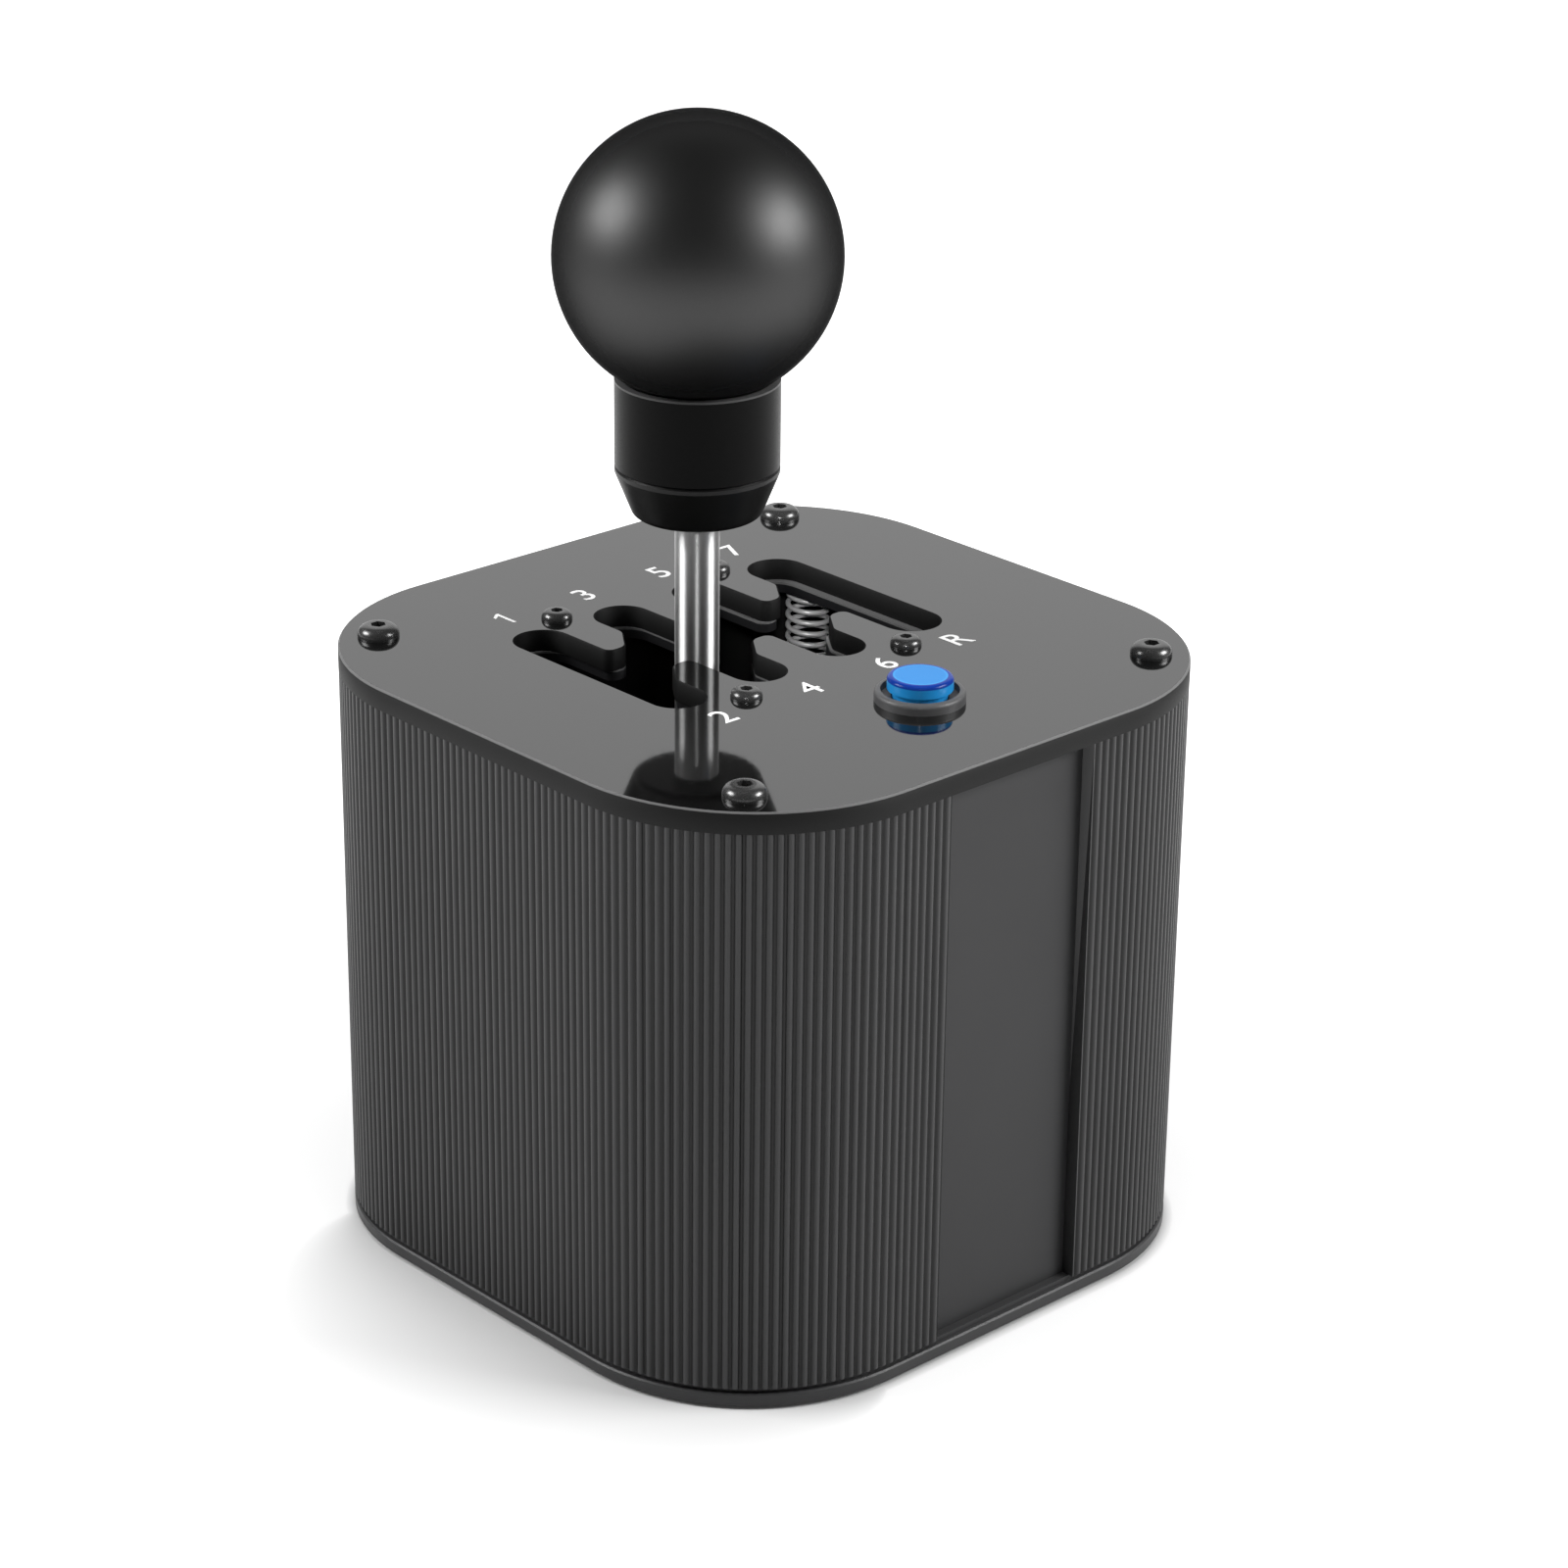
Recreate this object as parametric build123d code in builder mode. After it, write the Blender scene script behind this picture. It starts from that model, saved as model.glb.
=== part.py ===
from build123d import *
import math
import os

os.makedirs("parts", exist_ok=True)

# Driving dimensions of the body, in millimetres
body_side = 130.0
body_height = 112.0
corner_radius = 37.6
wall = 4.0
plate_thickness = 4.0
gate_thickness = 2.0
foot_stand = 0.5
base_edge = 2.5
base_gap = 1.0

# Driving dimensions of the lever and its gate
lever_radius = 4.0
ball_radius = 25.4
pivot_x = -8.7
pivot_y = 8.2
pivot_rise = 18.0
gate_x = 0.1
ball_rise = 71.75
column_pitch = 19.0
column_count = 4
slot_width = 10.3
gate_far_end = 32.8
gate_near_end = -13.8
channel_near = 3.6
channel_far = 15.6
far_travel = 18.8
near_travel = 16.4

# Levels, counted from the surface that the feet stand on
base_bottom = foot_stand
band_top = base_bottom + base_edge
base_top = band_top + base_gap
top_surface = base_bottom + body_height
plate_bottom = top_surface - plate_thickness
gate_bottom = plate_bottom - gate_thickness
housing_height = plate_bottom - base_top
pivot_z = base_top + pivot_rise
body_half = body_side / 2
ball_z = top_surface + ball_rise
sides = (-1, 1)

# Fits and small edges
overrun = 2.0
running_gap = 0.05
loose_gap = 0.2
edge_break = 0.3
quarter_turn = 90.0
hexagon_sides = 6

# Axes that the moving parts turn about
lever_axis = Axis((pivot_x, pivot_y, 0), (0, 0, 1))
lever_plane = Plane(origin=(pivot_x, pivot_y, 0), x_dir=(1, 0, 0), z_dir=(0, -1, 0))


# Shapes that several pieces share
dome_share = 0.85
socket_share = 0.6


def button_screws(places, seat, head_radius, head_height, socket_width, shank_radius, shank_length):
    """Button-head screws at the given places, with their heads standing up on one level."""
    with BuildPart() as screws:
        with BuildSketch(Plane.XY.offset(seat)):
            with Locations(*places):
                Circle(head_radius)
        extrude(amount=head_height)
        fillet(screws.edges().group_by(Axis.Z)[-1], head_height * dome_share)
        with BuildSketch(Plane.XY.offset(seat + head_height)):
            with Locations(*places):
                RegularPolygon(socket_width / 2, hexagon_sides, major_radius=False)
        extrude(amount=-head_height * socket_share, mode=Mode.SUBTRACT)
        with BuildSketch(Plane.XY.offset(seat)):
            with Locations(*places):
                Circle(shank_radius)
        extrude(amount=-shank_length)
    return screws


def posts(places, plane, outer_radius, length):
    """Plain round posts or spacers that start at places on a plane."""
    with BuildPart() as group:
        with BuildSketch(plane):
            with Locations(*places):
                Circle(outer_radius)
        extrude(amount=length)
    return group


def flanged_bush(seat, bore_radius, outer_radius, flange_radius, flange_thickness, length):
    """A flanged sleeve: the seat plane is the flange's outer face and points into the wall."""
    with BuildPart() as bush:
        with BuildSketch(seat):
            Circle(flange_radius)
            Circle(bore_radius, mode=Mode.SUBTRACT)
        extrude(amount=flange_thickness)
        with BuildSketch(seat):
            Circle(outer_radius)
            Circle(bore_radius, mode=Mode.SUBTRACT)
        extrude(amount=flange_thickness + length)
    return bush


def hex_nut(center, low, thickness, width, bore_radius):
    """A six-sided nut lying flat, its lower face at the given level."""
    with BuildPart() as nut:
        with BuildSketch(Plane.XY.offset(low)):
            with Locations(center):
                RegularPolygon(width / 2, hexagon_sides, major_radius=False)
                Circle(bore_radius, mode=Mode.SUBTRACT)
        extrude(amount=thickness)
    return nut


def biarc(start, start_way, end, end_way):
    """Two arcs that join two points along their directions without a kink."""
    chord = end - start
    likeness = start_way.dot(end_way)
    lean = chord.dot(start_way + end_way)
    spread = 2 * (1 - likeness)
    reach = (math.sqrt(lean ** 2 + spread * chord.dot(chord)) - lean) / spread
    near = start + start_way * reach
    far = end - end_way * reach
    middle = (near + far) / 2
    TangentArc(start, middle, tangent=start_way)
    TangentArc(middle, end, tangent=far - near)


samples_per_turn = 24
end_bend_share = 1.15


def least_gap(route, turns, wire_radius):
    """The least clear distance between turns, measured on points along the wire's centre line."""
    count = samples_per_turn * turns
    points = [tuple(route.position_at(index / count)) for index in range(count + 1)]
    apart = samples_per_turn // 2
    distances = [
        math.dist(points[first], points[second])
        for first in range(count + 1)
        for second in range(first + apart, min(first + 2 * samples_per_turn, count + 1))
    ]
    return min(distances) - 2 * wire_radius


def coil(name, seat, length, mean_radius, wire_radius, pitch):
    """A left-handed coil on a seat plane, one unbroken wire with straight upright ends."""
    slope = math.atan(pitch / (2 * math.pi * mean_radius))
    bend_radius = 2 * wire_radius * end_bend_share
    bend_reach = bend_radius * (1 - math.sin(slope))
    bend_rise = bend_radius * math.cos(slope)
    turns = math.floor((length - 4 * wire_radius - 2 * bend_rise) / pitch)
    stub = (length - 2 * bend_rise - turns * pitch) / 2
    upright = seat.z_dir
    points = []
    ways = []
    for half in range(2 * turns + 1):
        angle = -half * math.pi
        points.append(seat.from_local_coords((
            mean_radius * math.cos(angle),
            mean_radius * math.sin(angle),
            stub + bend_rise + half * pitch / 2,
        )))
        ways.append(seat.from_local_coords((
            math.sin(angle) * math.cos(slope),
            -math.cos(angle) * math.cos(slope),
            math.sin(slope),
        )) - seat.origin)
    foot = seat.from_local_coords((mean_radius, bend_reach, 0))
    foot_bend = seat.from_local_coords((mean_radius, bend_reach, stub))
    head_bend = seat.from_local_coords((mean_radius, -bend_reach, length - stub))
    head = seat.from_local_coords((mean_radius, -bend_reach, length))
    with BuildPart() as spring:
        with BuildLine() as route:
            Line(foot, foot_bend)
            TangentArc(foot_bend, points[0], tangent=upright)
            for index in range(2 * turns):
                biarc(points[index], ways[index], points[index + 1], ways[index + 1])
            TangentArc(points[-1], head_bend, tangent=ways[-1])
            Line(head_bend, head)
        with BuildSketch(Plane(origin=foot, z_dir=upright)):
            Circle(wire_radius)
        sweep(path=route.wire())
    gap = least_gap(route.wire(), turns, wire_radius)
    print(f"{name}: {turns} turns, least gap between turns {gap:.2f} mm")
    return spring


lead_reach_share = 0.45


def lead(name, points, radius):
    """A round lead along straight runs joined by arcs as large as the runs allow."""
    corners = [Vector(*point) for point in points]
    runs = [after - before for before, after in zip(corners, corners[1:])]
    radii = []
    for before, after in zip(runs, runs[1:]):
        turn = math.radians(before.get_angle(after))
        shorter = min(before.length, after.length)
        radii.append(lead_reach_share * shorter / math.tan(turn / 2))
    with BuildPart() as tube:
        with BuildLine() as route:
            FilletPolyline(*corners, radius=radii)
        with BuildSketch(Plane(origin=corners[0], z_dir=runs[0])):
            Circle(radius)
        sweep(path=route.wire())
    print(f"{name}: bend radii", [round(value, 1) for value in radii])
    return tube


# The gate: the columns are where the tilted lever passes each plate
lever_gap = 0.3
ease_width = 4.5
ease_length = 6.0
ease_round = 2.8
tip_round = 1.8
near_line = 0.01
top_middle = top_surface - plate_thickness / 2
gate_middle = plate_bottom - gate_thickness / 2
top_reach = top_middle - pivot_z
column_places = [gate_x + (index - (column_count - 1) / 2) * column_pitch for index in range(column_count)]
column_slopes = [(place - pivot_x) / top_reach for place in column_places]


def gate_columns(middle, thickness, least_width):
    """Centre and width of each column where the tilted lever passes a plate."""
    columns = []
    for slope in column_slopes:
        center = pivot_x + slope * (middle - pivot_z)
        needed = thickness * abs(slope) + 2 * lever_radius * math.hypot(1, slope) + 2 * lever_gap
        columns.append((center, max(least_width, needed)))
    return columns


def ease_corner(corner, direction):
    """Cut a finger's corner away where the lever crosses from one gear to the next column."""
    across = (corner[0] + direction * ease_width, corner[1])
    along = (corner[0], corner[1] - direction * ease_length)
    Polygon(corner, across, along, align=None, mode=Mode.SUBTRACT)
    return across, along


def corners_at(sketch, places):
    """The corners of a sketch that lie at some of the places given."""
    return [
        corner
        for corner in sketch.vertices()
        if any(math.dist((corner.X, corner.Y), place) < near_line for place in places)
    ]


def cut_gate(sketch, middle, thickness, least_width):
    """Cut the columns and the neutral channel out of a plate, with eased finger tips."""
    share = (middle - pivot_z) / top_reach
    columns = gate_columns(middle, thickness, least_width)
    far_end = pivot_y + (gate_far_end - pivot_y) * share
    near_end = pivot_y + (gate_near_end - pivot_y) * share
    for center, width in columns:
        with Locations((center, (far_end + near_end) / 2)):
            SlotOverall(far_end - near_end, width, rotation=quarter_turn, mode=Mode.SUBTRACT)
    tips = []
    eased = []
    for (left, left_width), (right, right_width) in zip(columns, columns[1:]):
        finger_left = left + left_width / 2
        finger_right = right - right_width / 2
        with Locations(((left + right) / 2, (channel_far + channel_near) / 2)):
            Rectangle(right - left, channel_far - channel_near, mode=Mode.SUBTRACT)
        eased.extend(ease_corner((finger_left, channel_near), 1))
        eased.extend(ease_corner((finger_right, channel_far), -1))
        tips.extend([(finger_right, channel_near), (finger_left, channel_far)])
    fillet(corners_at(sketch, tips), tip_round)
    fillet(corners_at(sketch, eased), ease_round)


# Housing: a square tube with round corners, four screw posts and a recess front and rear
recess_x = 0.8
recess_width = 34.0
recess_depth = 2.6
rear_recess_depth = 5.0
strip_thickness = 1.5
pad_behind = 3.5
pad_side = 4.0
post_radius = 5.0
screw_inset = 16.0
screw_radius = 2.0
post_hole_depth = 16.0
cut_depths = [recess_depth + strip_thickness, rear_recess_depth + strip_thickness]
pad_inners = [body_half - depth - pad_behind for depth in cut_depths]
rear_pad_inner = pad_inners[-1]
pad_outer = body_half - wall / 2
usb_x = 11.0
usb_width = 9.0
usb_height = 3.2
usb_side_gap = 2.5
board_rise = 6.0
board_thickness = 1.6
board_bottom = base_top + board_rise
board_top = board_bottom + board_thickness
usb_z = board_top + usb_height / 2
screw_spread = body_half - screw_inset
corner_places = [(x, y) for x in (-screw_spread, screw_spread) for y in (-screw_spread, screw_spread)]

with BuildPart() as housing:
    with BuildSketch(Plane.XY.offset(base_top)):
        RectangleRounded(body_side, body_side, corner_radius)
        RectangleRounded(
            body_side - 2 * wall, body_side - 2 * wall, corner_radius - wall, mode=Mode.SUBTRACT
        )
        for side, pad_inner in zip(sides, pad_inners):
            with Locations((recess_x, side * (pad_inner + pad_outer) / 2)):
                Rectangle(recess_width + 2 * pad_side, pad_outer - pad_inner)
        with Locations(*corner_places):
            Circle(post_radius)
        for side, depth in zip(sides, cut_depths):
            with Locations((recess_x, side * (body_half - depth / 2 + overrun / 2))):
                Rectangle(recess_width, depth + overrun, mode=Mode.SUBTRACT)
    extrude(amount=housing_height)
    with BuildSketch(Plane.XY.offset(plate_bottom)):
        with Locations(*corner_places):
            Circle(screw_radius)
    extrude(amount=-post_hole_depth, mode=Mode.SUBTRACT)
    with BuildSketch(Plane.XY.offset(base_top)):
        with Locations(*corner_places):
            Circle(screw_radius)
    extrude(amount=post_hole_depth, mode=Mode.SUBTRACT)
    with BuildSketch(Plane.XZ.offset(-rear_pad_inner + overrun)):
        with Locations((usb_x, usb_z)):
            RectangleRounded(usb_width + 2 * usb_side_gap, usb_height + 2 * usb_side_gap, usb_side_gap / 2)
    extrude(amount=-(pad_behind + 2 * overrun), mode=Mode.SUBTRACT)
housing.part.label = "housing"
export_step(housing.part, "parts/housing.step")

# Strips that line the two recesses
strip_gap = 0.1
usb_rim = 0.4
front_strip_y = recess_depth + strip_thickness / 2 - body_half
rear_strip_y = body_half - rear_recess_depth - strip_thickness / 2

with BuildPart() as front_panel:
    with BuildSketch(Plane.XY.offset(base_top)):
        with Locations((recess_x, front_strip_y)):
            Rectangle(recess_width - 2 * strip_gap, strip_thickness)
    extrude(amount=housing_height)
front_panel.part.label = "front_panel"
export_step(front_panel.part, "parts/front_panel.step")

with BuildPart() as rear_panel:
    with BuildSketch(Plane.XY.offset(base_top)):
        with Locations((recess_x, rear_strip_y)):
            Rectangle(recess_width - 2 * strip_gap, strip_thickness)
    extrude(amount=housing_height)
    with BuildSketch(Plane.XZ.offset(strip_thickness - rear_strip_y)):
        with Locations((usb_x, usb_z)):
            RectangleRounded(usb_width + 2 * usb_rim, usb_height + 2 * usb_rim, usb_height / 2)
    extrude(amount=-2 * strip_thickness, mode=Mode.SUBTRACT)
rear_panel.part.label = "rear_panel"
export_step(rear_panel.part, "parts/rear_panel.step")

# Base plate: its upper step leaves a dark line under the housing
foot_inset_x = 35.0
foot_inset_y = 15.0
foot_radius = 7.8
foot_sink = 1.5
mount_inset = 19.0
mount_spread_y = 20.0
insert_radius = 4.5
sink_radius = 4.2
bracket_width = 24.0
bracket_thickness = 5.0
bracket_foot = 10.0
bracket_foot_gap = 2.3
yoke_gap = 3.5
foot_x = body_half - foot_inset_x
foot_y = body_half - foot_inset_y
mount_spread_x = body_half - mount_inset
foot_places = [(x, y) for x in (-foot_x, foot_x) for y in (-foot_y, foot_y)]
mount_places = [(x, y) for x in (-mount_spread_x, mount_spread_x) for y in (-mount_spread_y, mount_spread_y)]
bracket_outer = rear_pad_inner - bracket_foot_gap - bracket_foot - pivot_y
bracket_inner = bracket_outer - bracket_thickness
yoke_half_depth = bracket_inner - yoke_gap
bracket_screw_y = bracket_outer + bracket_foot / 2
bracket_screw_x = bracket_width / 4
bracket_screw_places = [
    (pivot_x + x, pivot_y + y)
    for x in (-bracket_screw_x, bracket_screw_x)
    for y in (-bracket_screw_y, bracket_screw_y)
]
bracket_screw_depth = 3.0

with BuildPart() as base_plate:
    with BuildSketch(Plane.XY.offset(base_bottom)):
        RectangleRounded(body_side, body_side, corner_radius)
    extrude(amount=base_edge)
    chamfer(base_plate.faces().sort_by(Axis.Z)[0].edges(), edge_break)
    chamfer(base_plate.faces().sort_by(Axis.Z)[-1].edges(), edge_break)
    with BuildSketch(Plane.XY.offset(band_top)):
        RectangleRounded(body_side - 2 * base_gap, body_side - 2 * base_gap, corner_radius - base_gap)
    extrude(amount=base_gap)
    with BuildSketch(Plane.XY.offset(base_bottom)):
        with Locations(*foot_places):
            Circle(foot_radius + loose_gap)
    extrude(amount=foot_sink, mode=Mode.SUBTRACT)
    with BuildSketch(Plane.XY.offset(base_bottom)):
        with Locations(*mount_places):
            Circle(insert_radius)
    extrude(amount=base_edge + base_gap, mode=Mode.SUBTRACT)
    with BuildSketch(Plane.XY.offset(base_top)):
        with Locations(*bracket_screw_places):
            Circle(screw_radius)
    extrude(amount=-bracket_screw_depth, mode=Mode.SUBTRACT)
    with Locations(Plane(origin=(0, 0, base_bottom), z_dir=(0, 0, -1))):
        with Locations(*corner_places):
            CounterSinkHole(screw_radius + loose_gap, sink_radius, counter_sink_angle=quarter_turn)
base_plate.part.label = "base_plate"
export_step(base_plate.part, "parts/base_plate.step")

# Rubber feet, sunk into the base plate
with BuildPart() as feet:
    with BuildSketch(Plane.XY):
        with Locations(*foot_places):
            Circle(foot_radius)
    extrude(amount=foot_stand + foot_sink)
feet.part.label = "feet"
export_step(feet.part, "parts/feet.step")

# Threaded inserts that the object is bolted down by
mount_thread_radius = 3.0
insert_flange_radius = 6.0
insert_flange = 1.5

with BuildPart() as mount_inserts:
    with BuildSketch(Plane.XY.offset(base_bottom)):
        with Locations(*mount_places):
            Circle(insert_radius)
            Circle(mount_thread_radius, mode=Mode.SUBTRACT)
    extrude(amount=base_edge + base_gap)
    with BuildSketch(Plane.XY.offset(base_top)):
        with Locations(*mount_places):
            Circle(insert_flange_radius)
            Circle(mount_thread_radius, mode=Mode.SUBTRACT)
    extrude(amount=insert_flange)
mount_inserts.part.label = "mount_inserts"
export_step(mount_inserts.part, "parts/mount_inserts.step")

# Countersunk screws that hold the base plate to the housing's posts
base_screw_length = 14.0
base_socket_width = 2.5
base_socket_depth = 1.2
head_radius = sink_radius - loose_gap
head_rise = head_radius - screw_radius
head_places = [(x, y, base_bottom) for x, y in corner_places]

with BuildPart() as base_screws:
    with BuildSketch(Plane.XY.offset(base_bottom)):
        with Locations(*corner_places):
            Circle(screw_radius)
    extrude(amount=base_screw_length)
    with Locations(*head_places):
        Cone(head_radius, screw_radius, head_rise, align=(Align.CENTER, Align.CENTER, Align.MIN))
    with BuildSketch(Plane.XY.offset(base_bottom)):
        with Locations(*corner_places):
            RegularPolygon(base_socket_width / 2, hexagon_sides, major_radius=False)
    extrude(amount=base_socket_depth, mode=Mode.SUBTRACT)
base_screws.part.label = "base_screws"
export_step(base_screws.part, "parts/base_screws.step")

# Gate plate: steel, screwed under the top plate
gate_plate_inset = 8.0
gate_plate_near = -23.0
gate_plate_past_spring = 10.0
spring_inset = 3.2
gate_plate_corner = 8.0
gate_screw_x = 19.3
gate_screw_far = 34.6
gate_screw_near = -16.7
gate_screw_radius = 1.5
gate_plate_width = body_side - 2 * gate_plate_inset
spring_y = pivot_y + yoke_half_depth - spring_inset
gate_plate_far = spring_y + gate_plate_past_spring
gate_screw_places = [
    (x, y)
    for x in (-gate_screw_x, gate_screw_x)
    for y in (gate_screw_near, gate_screw_far)
]

with BuildPart() as gate_plate:
    with BuildSketch(Plane.XY.offset(gate_bottom)) as gate_outline:
        with Locations((0, (gate_plate_far + gate_plate_near) / 2)):
            RectangleRounded(gate_plate_width, gate_plate_far - gate_plate_near, gate_plate_corner)
        cut_gate(gate_outline, gate_middle, gate_thickness, slot_width)
        with Locations(*gate_screw_places):
            Circle(gate_screw_radius, mode=Mode.SUBTRACT)
    extrude(amount=gate_thickness)
gate_plate.part.label = "gate_plate"
export_step(gate_plate.part, "parts/gate_plate.step")

# Top plate, with the gate, the button's hole and eight screw holes
button_x = 2.6
button_inset = 27.6
button_thread_radius = 6.0
button_y = button_inset - body_half
button_place = (button_x, button_y)

with BuildPart() as top_plate:
    with BuildSketch(Plane.XY.offset(plate_bottom)) as plate_outline:
        RectangleRounded(body_side, body_side, corner_radius)
        cut_gate(plate_outline, top_middle, plate_thickness, slot_width)
        with Locations(*gate_screw_places):
            Circle(gate_screw_radius + loose_gap, mode=Mode.SUBTRACT)
        with Locations(*corner_places):
            Circle(screw_radius + loose_gap, mode=Mode.SUBTRACT)
        with Locations(button_place):
            Circle(button_thread_radius + strip_gap, mode=Mode.SUBTRACT)
    extrude(amount=plate_thickness)
    chamfer(top_plate.faces().sort_by(Axis.Z)[-1].edges(), edge_break)
top_plate.part.label = "top_plate"
export_step(top_plate.part, "parts/top_plate.step")

# Button-head screws in the top plate
corner_head_radius = 3.8
corner_head_height = 2.2
corner_socket_width = 2.5
corner_screw_length = 16.0
gate_head_radius = 2.85
gate_head_height = 1.65
gate_socket_width = 2.0

corner_screws = button_screws(
    corner_places, top_surface, corner_head_radius, corner_head_height, corner_socket_width,
    screw_radius, corner_screw_length,
)
corner_screws.part.label = "corner_screws"
export_step(corner_screws.part, "parts/corner_screws.step")

gate_screws = button_screws(
    gate_screw_places, top_surface, gate_head_radius, gate_head_height, gate_socket_width,
    gate_screw_radius, plate_thickness + gate_thickness,
)
gate_screws.part.label = "gate_screws"
export_step(gate_screws.part, "parts/gate_screws.step")

# Push button: a threaded body with a round bezel, nut, pins, spring and cap
bezel_radius = 8.05
bezel_height = 2.0
bezel_round = 0.8
bezel_groove_depth = 1.3
button_bore_radius = 5.1
button_body_depth = 17.5
button_floor = 2.0
cap_radius = 5.85
cap_rise = 4.6
cap_thickness = 2.4
cap_gap = 1.1
cap_round = 0.8
cap_skirt_depth = 5.5
skirt_gap = 0.2
pin_radius = 0.8
pin_length = 6.0
pin_spread = 2.5
button_nut_width = 15.0
button_nut_thickness = 2.5
button_floor_top = top_surface - button_body_depth + button_floor
cap_top = top_surface + cap_rise
cap_under = cap_top - cap_thickness
skirt_bottom = top_surface - cap_skirt_depth
pin_places = [(button_x + side * pin_spread, button_y) for side in sides]

with BuildPart() as button_body:
    with BuildSketch(Plane.XY.offset(top_surface)):
        with Locations(button_place):
            Circle(bezel_radius)
    extrude(amount=bezel_height)
    fillet(button_body.edges().group_by(Axis.Z)[-1], bezel_round)
    with BuildSketch(Plane.XY.offset(top_surface)):
        with Locations(button_place):
            Circle(button_thread_radius)
    extrude(amount=-button_body_depth)
    with BuildSketch(Plane.XY.offset(top_surface + bezel_height)):
        with Locations(button_place):
            Circle(cap_radius + cap_gap)
    extrude(amount=-bezel_groove_depth, mode=Mode.SUBTRACT)
    with BuildSketch(Plane.XY.offset(button_floor_top)):
        with Locations(button_place):
            Circle(button_bore_radius)
    extrude(amount=button_body_depth - button_floor + bezel_height, mode=Mode.SUBTRACT)
button_body.part.label = "button_body"
export_step(button_body.part, "parts/button_body.step")

button_nut = hex_nut(
    button_place, plate_bottom - button_nut_thickness, button_nut_thickness, button_nut_width,
    button_thread_radius,
)
button_nut.part.label = "button_nut"
export_step(button_nut.part, "parts/button_nut.step")

button_pins = posts(
    pin_places, Plane.XY.offset(top_surface - button_body_depth), pin_radius, -pin_length
)
button_pins.part.label = "button_pins"
export_step(button_pins.part, "parts/button_pins.step")

with BuildPart() as button_cap:
    with BuildSketch(Plane.XY.offset(cap_under)):
        with Locations(button_place):
            Circle(cap_radius)
    extrude(amount=cap_thickness)
    fillet(button_cap.edges().group_by(Axis.Z)[-1], cap_round)
    with BuildSketch(Plane.XY.offset(skirt_bottom)):
        with Locations(button_place):
            Circle(button_bore_radius - skirt_gap)
    extrude(amount=cap_under - skirt_bottom)
button_cap.part.label = "button_cap"
export_step(button_cap.part, "parts/button_cap.step")

button_coil_radius = 3.4
button_wire_radius = 0.4
button_pitch = 1.5
button_seat = Plane(origin=(button_x, button_y, button_floor_top), z_dir=(0, 0, 1))
button_spring = coil(
    "button_spring", button_seat, skirt_bottom - button_floor_top,
    button_coil_radius, button_wire_radius, button_pitch,
)
button_spring.part.label = "button_spring"
export_step(button_spring.part, "parts/button_spring.step")

# Pivot brackets at the two ends of the select axis, with their bushes
bush_radius = 5.0
bush_flange_radius = 7.0
select_flange = 1.0
bracket_flange = 4.0
bracket_round = 1.5


def pivot_bracket(direction):
    """One upright bracket with its foot turned outward; direction is 1 at the rear and -1 in front."""
    inner_face = pivot_y + direction * bracket_inner
    outer_face = pivot_y + direction * bracket_outer
    foot_middle = pivot_y + direction * (bracket_outer + bracket_inner + bracket_foot) / 2
    with BuildPart() as bracket:
        with BuildSketch(Plane.XZ.offset(-inner_face)):
            with Locations((pivot_x, (base_top + pivot_z) / 2)):
                Rectangle(bracket_width, pivot_rise)
            with Locations((pivot_x, pivot_z)):
                Circle(bracket_width / 2)
        extrude(amount=-direction * bracket_thickness)
        with BuildSketch(Plane.XY.offset(base_top)):
            with Locations((pivot_x, foot_middle)):
                RectangleRounded(bracket_width, bracket_thickness + bracket_foot, bracket_round)
            with Locations(*bracket_screw_places):
                Circle(screw_radius + loose_gap, mode=Mode.SUBTRACT)
        extrude(amount=bracket_flange)
        with BuildSketch(Plane.XZ.offset(-outer_face)):
            with Locations((pivot_x, pivot_z)):
                Circle(bush_radius)
        extrude(amount=direction * bracket_thickness, mode=Mode.SUBTRACT)
    return bracket


front_bracket = pivot_bracket(-1)
front_bracket.part.label = "front_bracket"
export_step(front_bracket.part, "parts/front_bracket.step")

rear_bracket = pivot_bracket(1)
rear_bracket.part.label = "rear_bracket"
export_step(rear_bracket.part, "parts/rear_bracket.step")

bracket_screws = button_screws(
    bracket_screw_places, base_top + bracket_flange, corner_head_radius, corner_head_height,
    corner_socket_width, screw_radius, bracket_flange + bracket_screw_depth,
)
bracket_screws.part.label = "bracket_screws"
export_step(bracket_screws.part, "parts/bracket_screws.step")

shaft_radius = 4.0
bush_bore = shaft_radius + running_gap


def select_bush(direction):
    """Flanged bush of one bracket, its flange on the yoke's side."""
    seat = Plane(
        origin=(pivot_x, pivot_y + direction * (bracket_inner - select_flange), pivot_z),
        z_dir=(0, direction, 0),
    )
    return flanged_bush(seat, bush_bore, bush_radius, bush_flange_radius, select_flange, bracket_thickness)


select_bush_front = select_bush(-1)
select_bush_front.part.label = "select_bush_front"
export_step(select_bush_front.part, "parts/select_bush_front.step")

select_bush_rear = select_bush(1)
select_bush_rear.part.label = "select_bush_rear"
export_step(select_bush_rear.part, "parts/select_bush_rear.step")

# Select yoke: an open frame round the lever's foot, with two uprights for the spring bar
yoke_half_width = 20.0
yoke_wall = 6.0
yoke_drop = 9.0
yoke_rise = 8.0
yoke_corner = 1.0
upright_rise = 14.0
upright_depth = 11.0
detent_x = 8.0
detent_sleeve_radius = 3.0
bar_screw_radius = 2.0
bar_screw_depth = 9.0
upright_x = yoke_half_width - yoke_wall / 2
upright_top = pivot_z + upright_rise
bar_screw_places = [(pivot_x + side * upright_x, spring_y) for side in sides]

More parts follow.
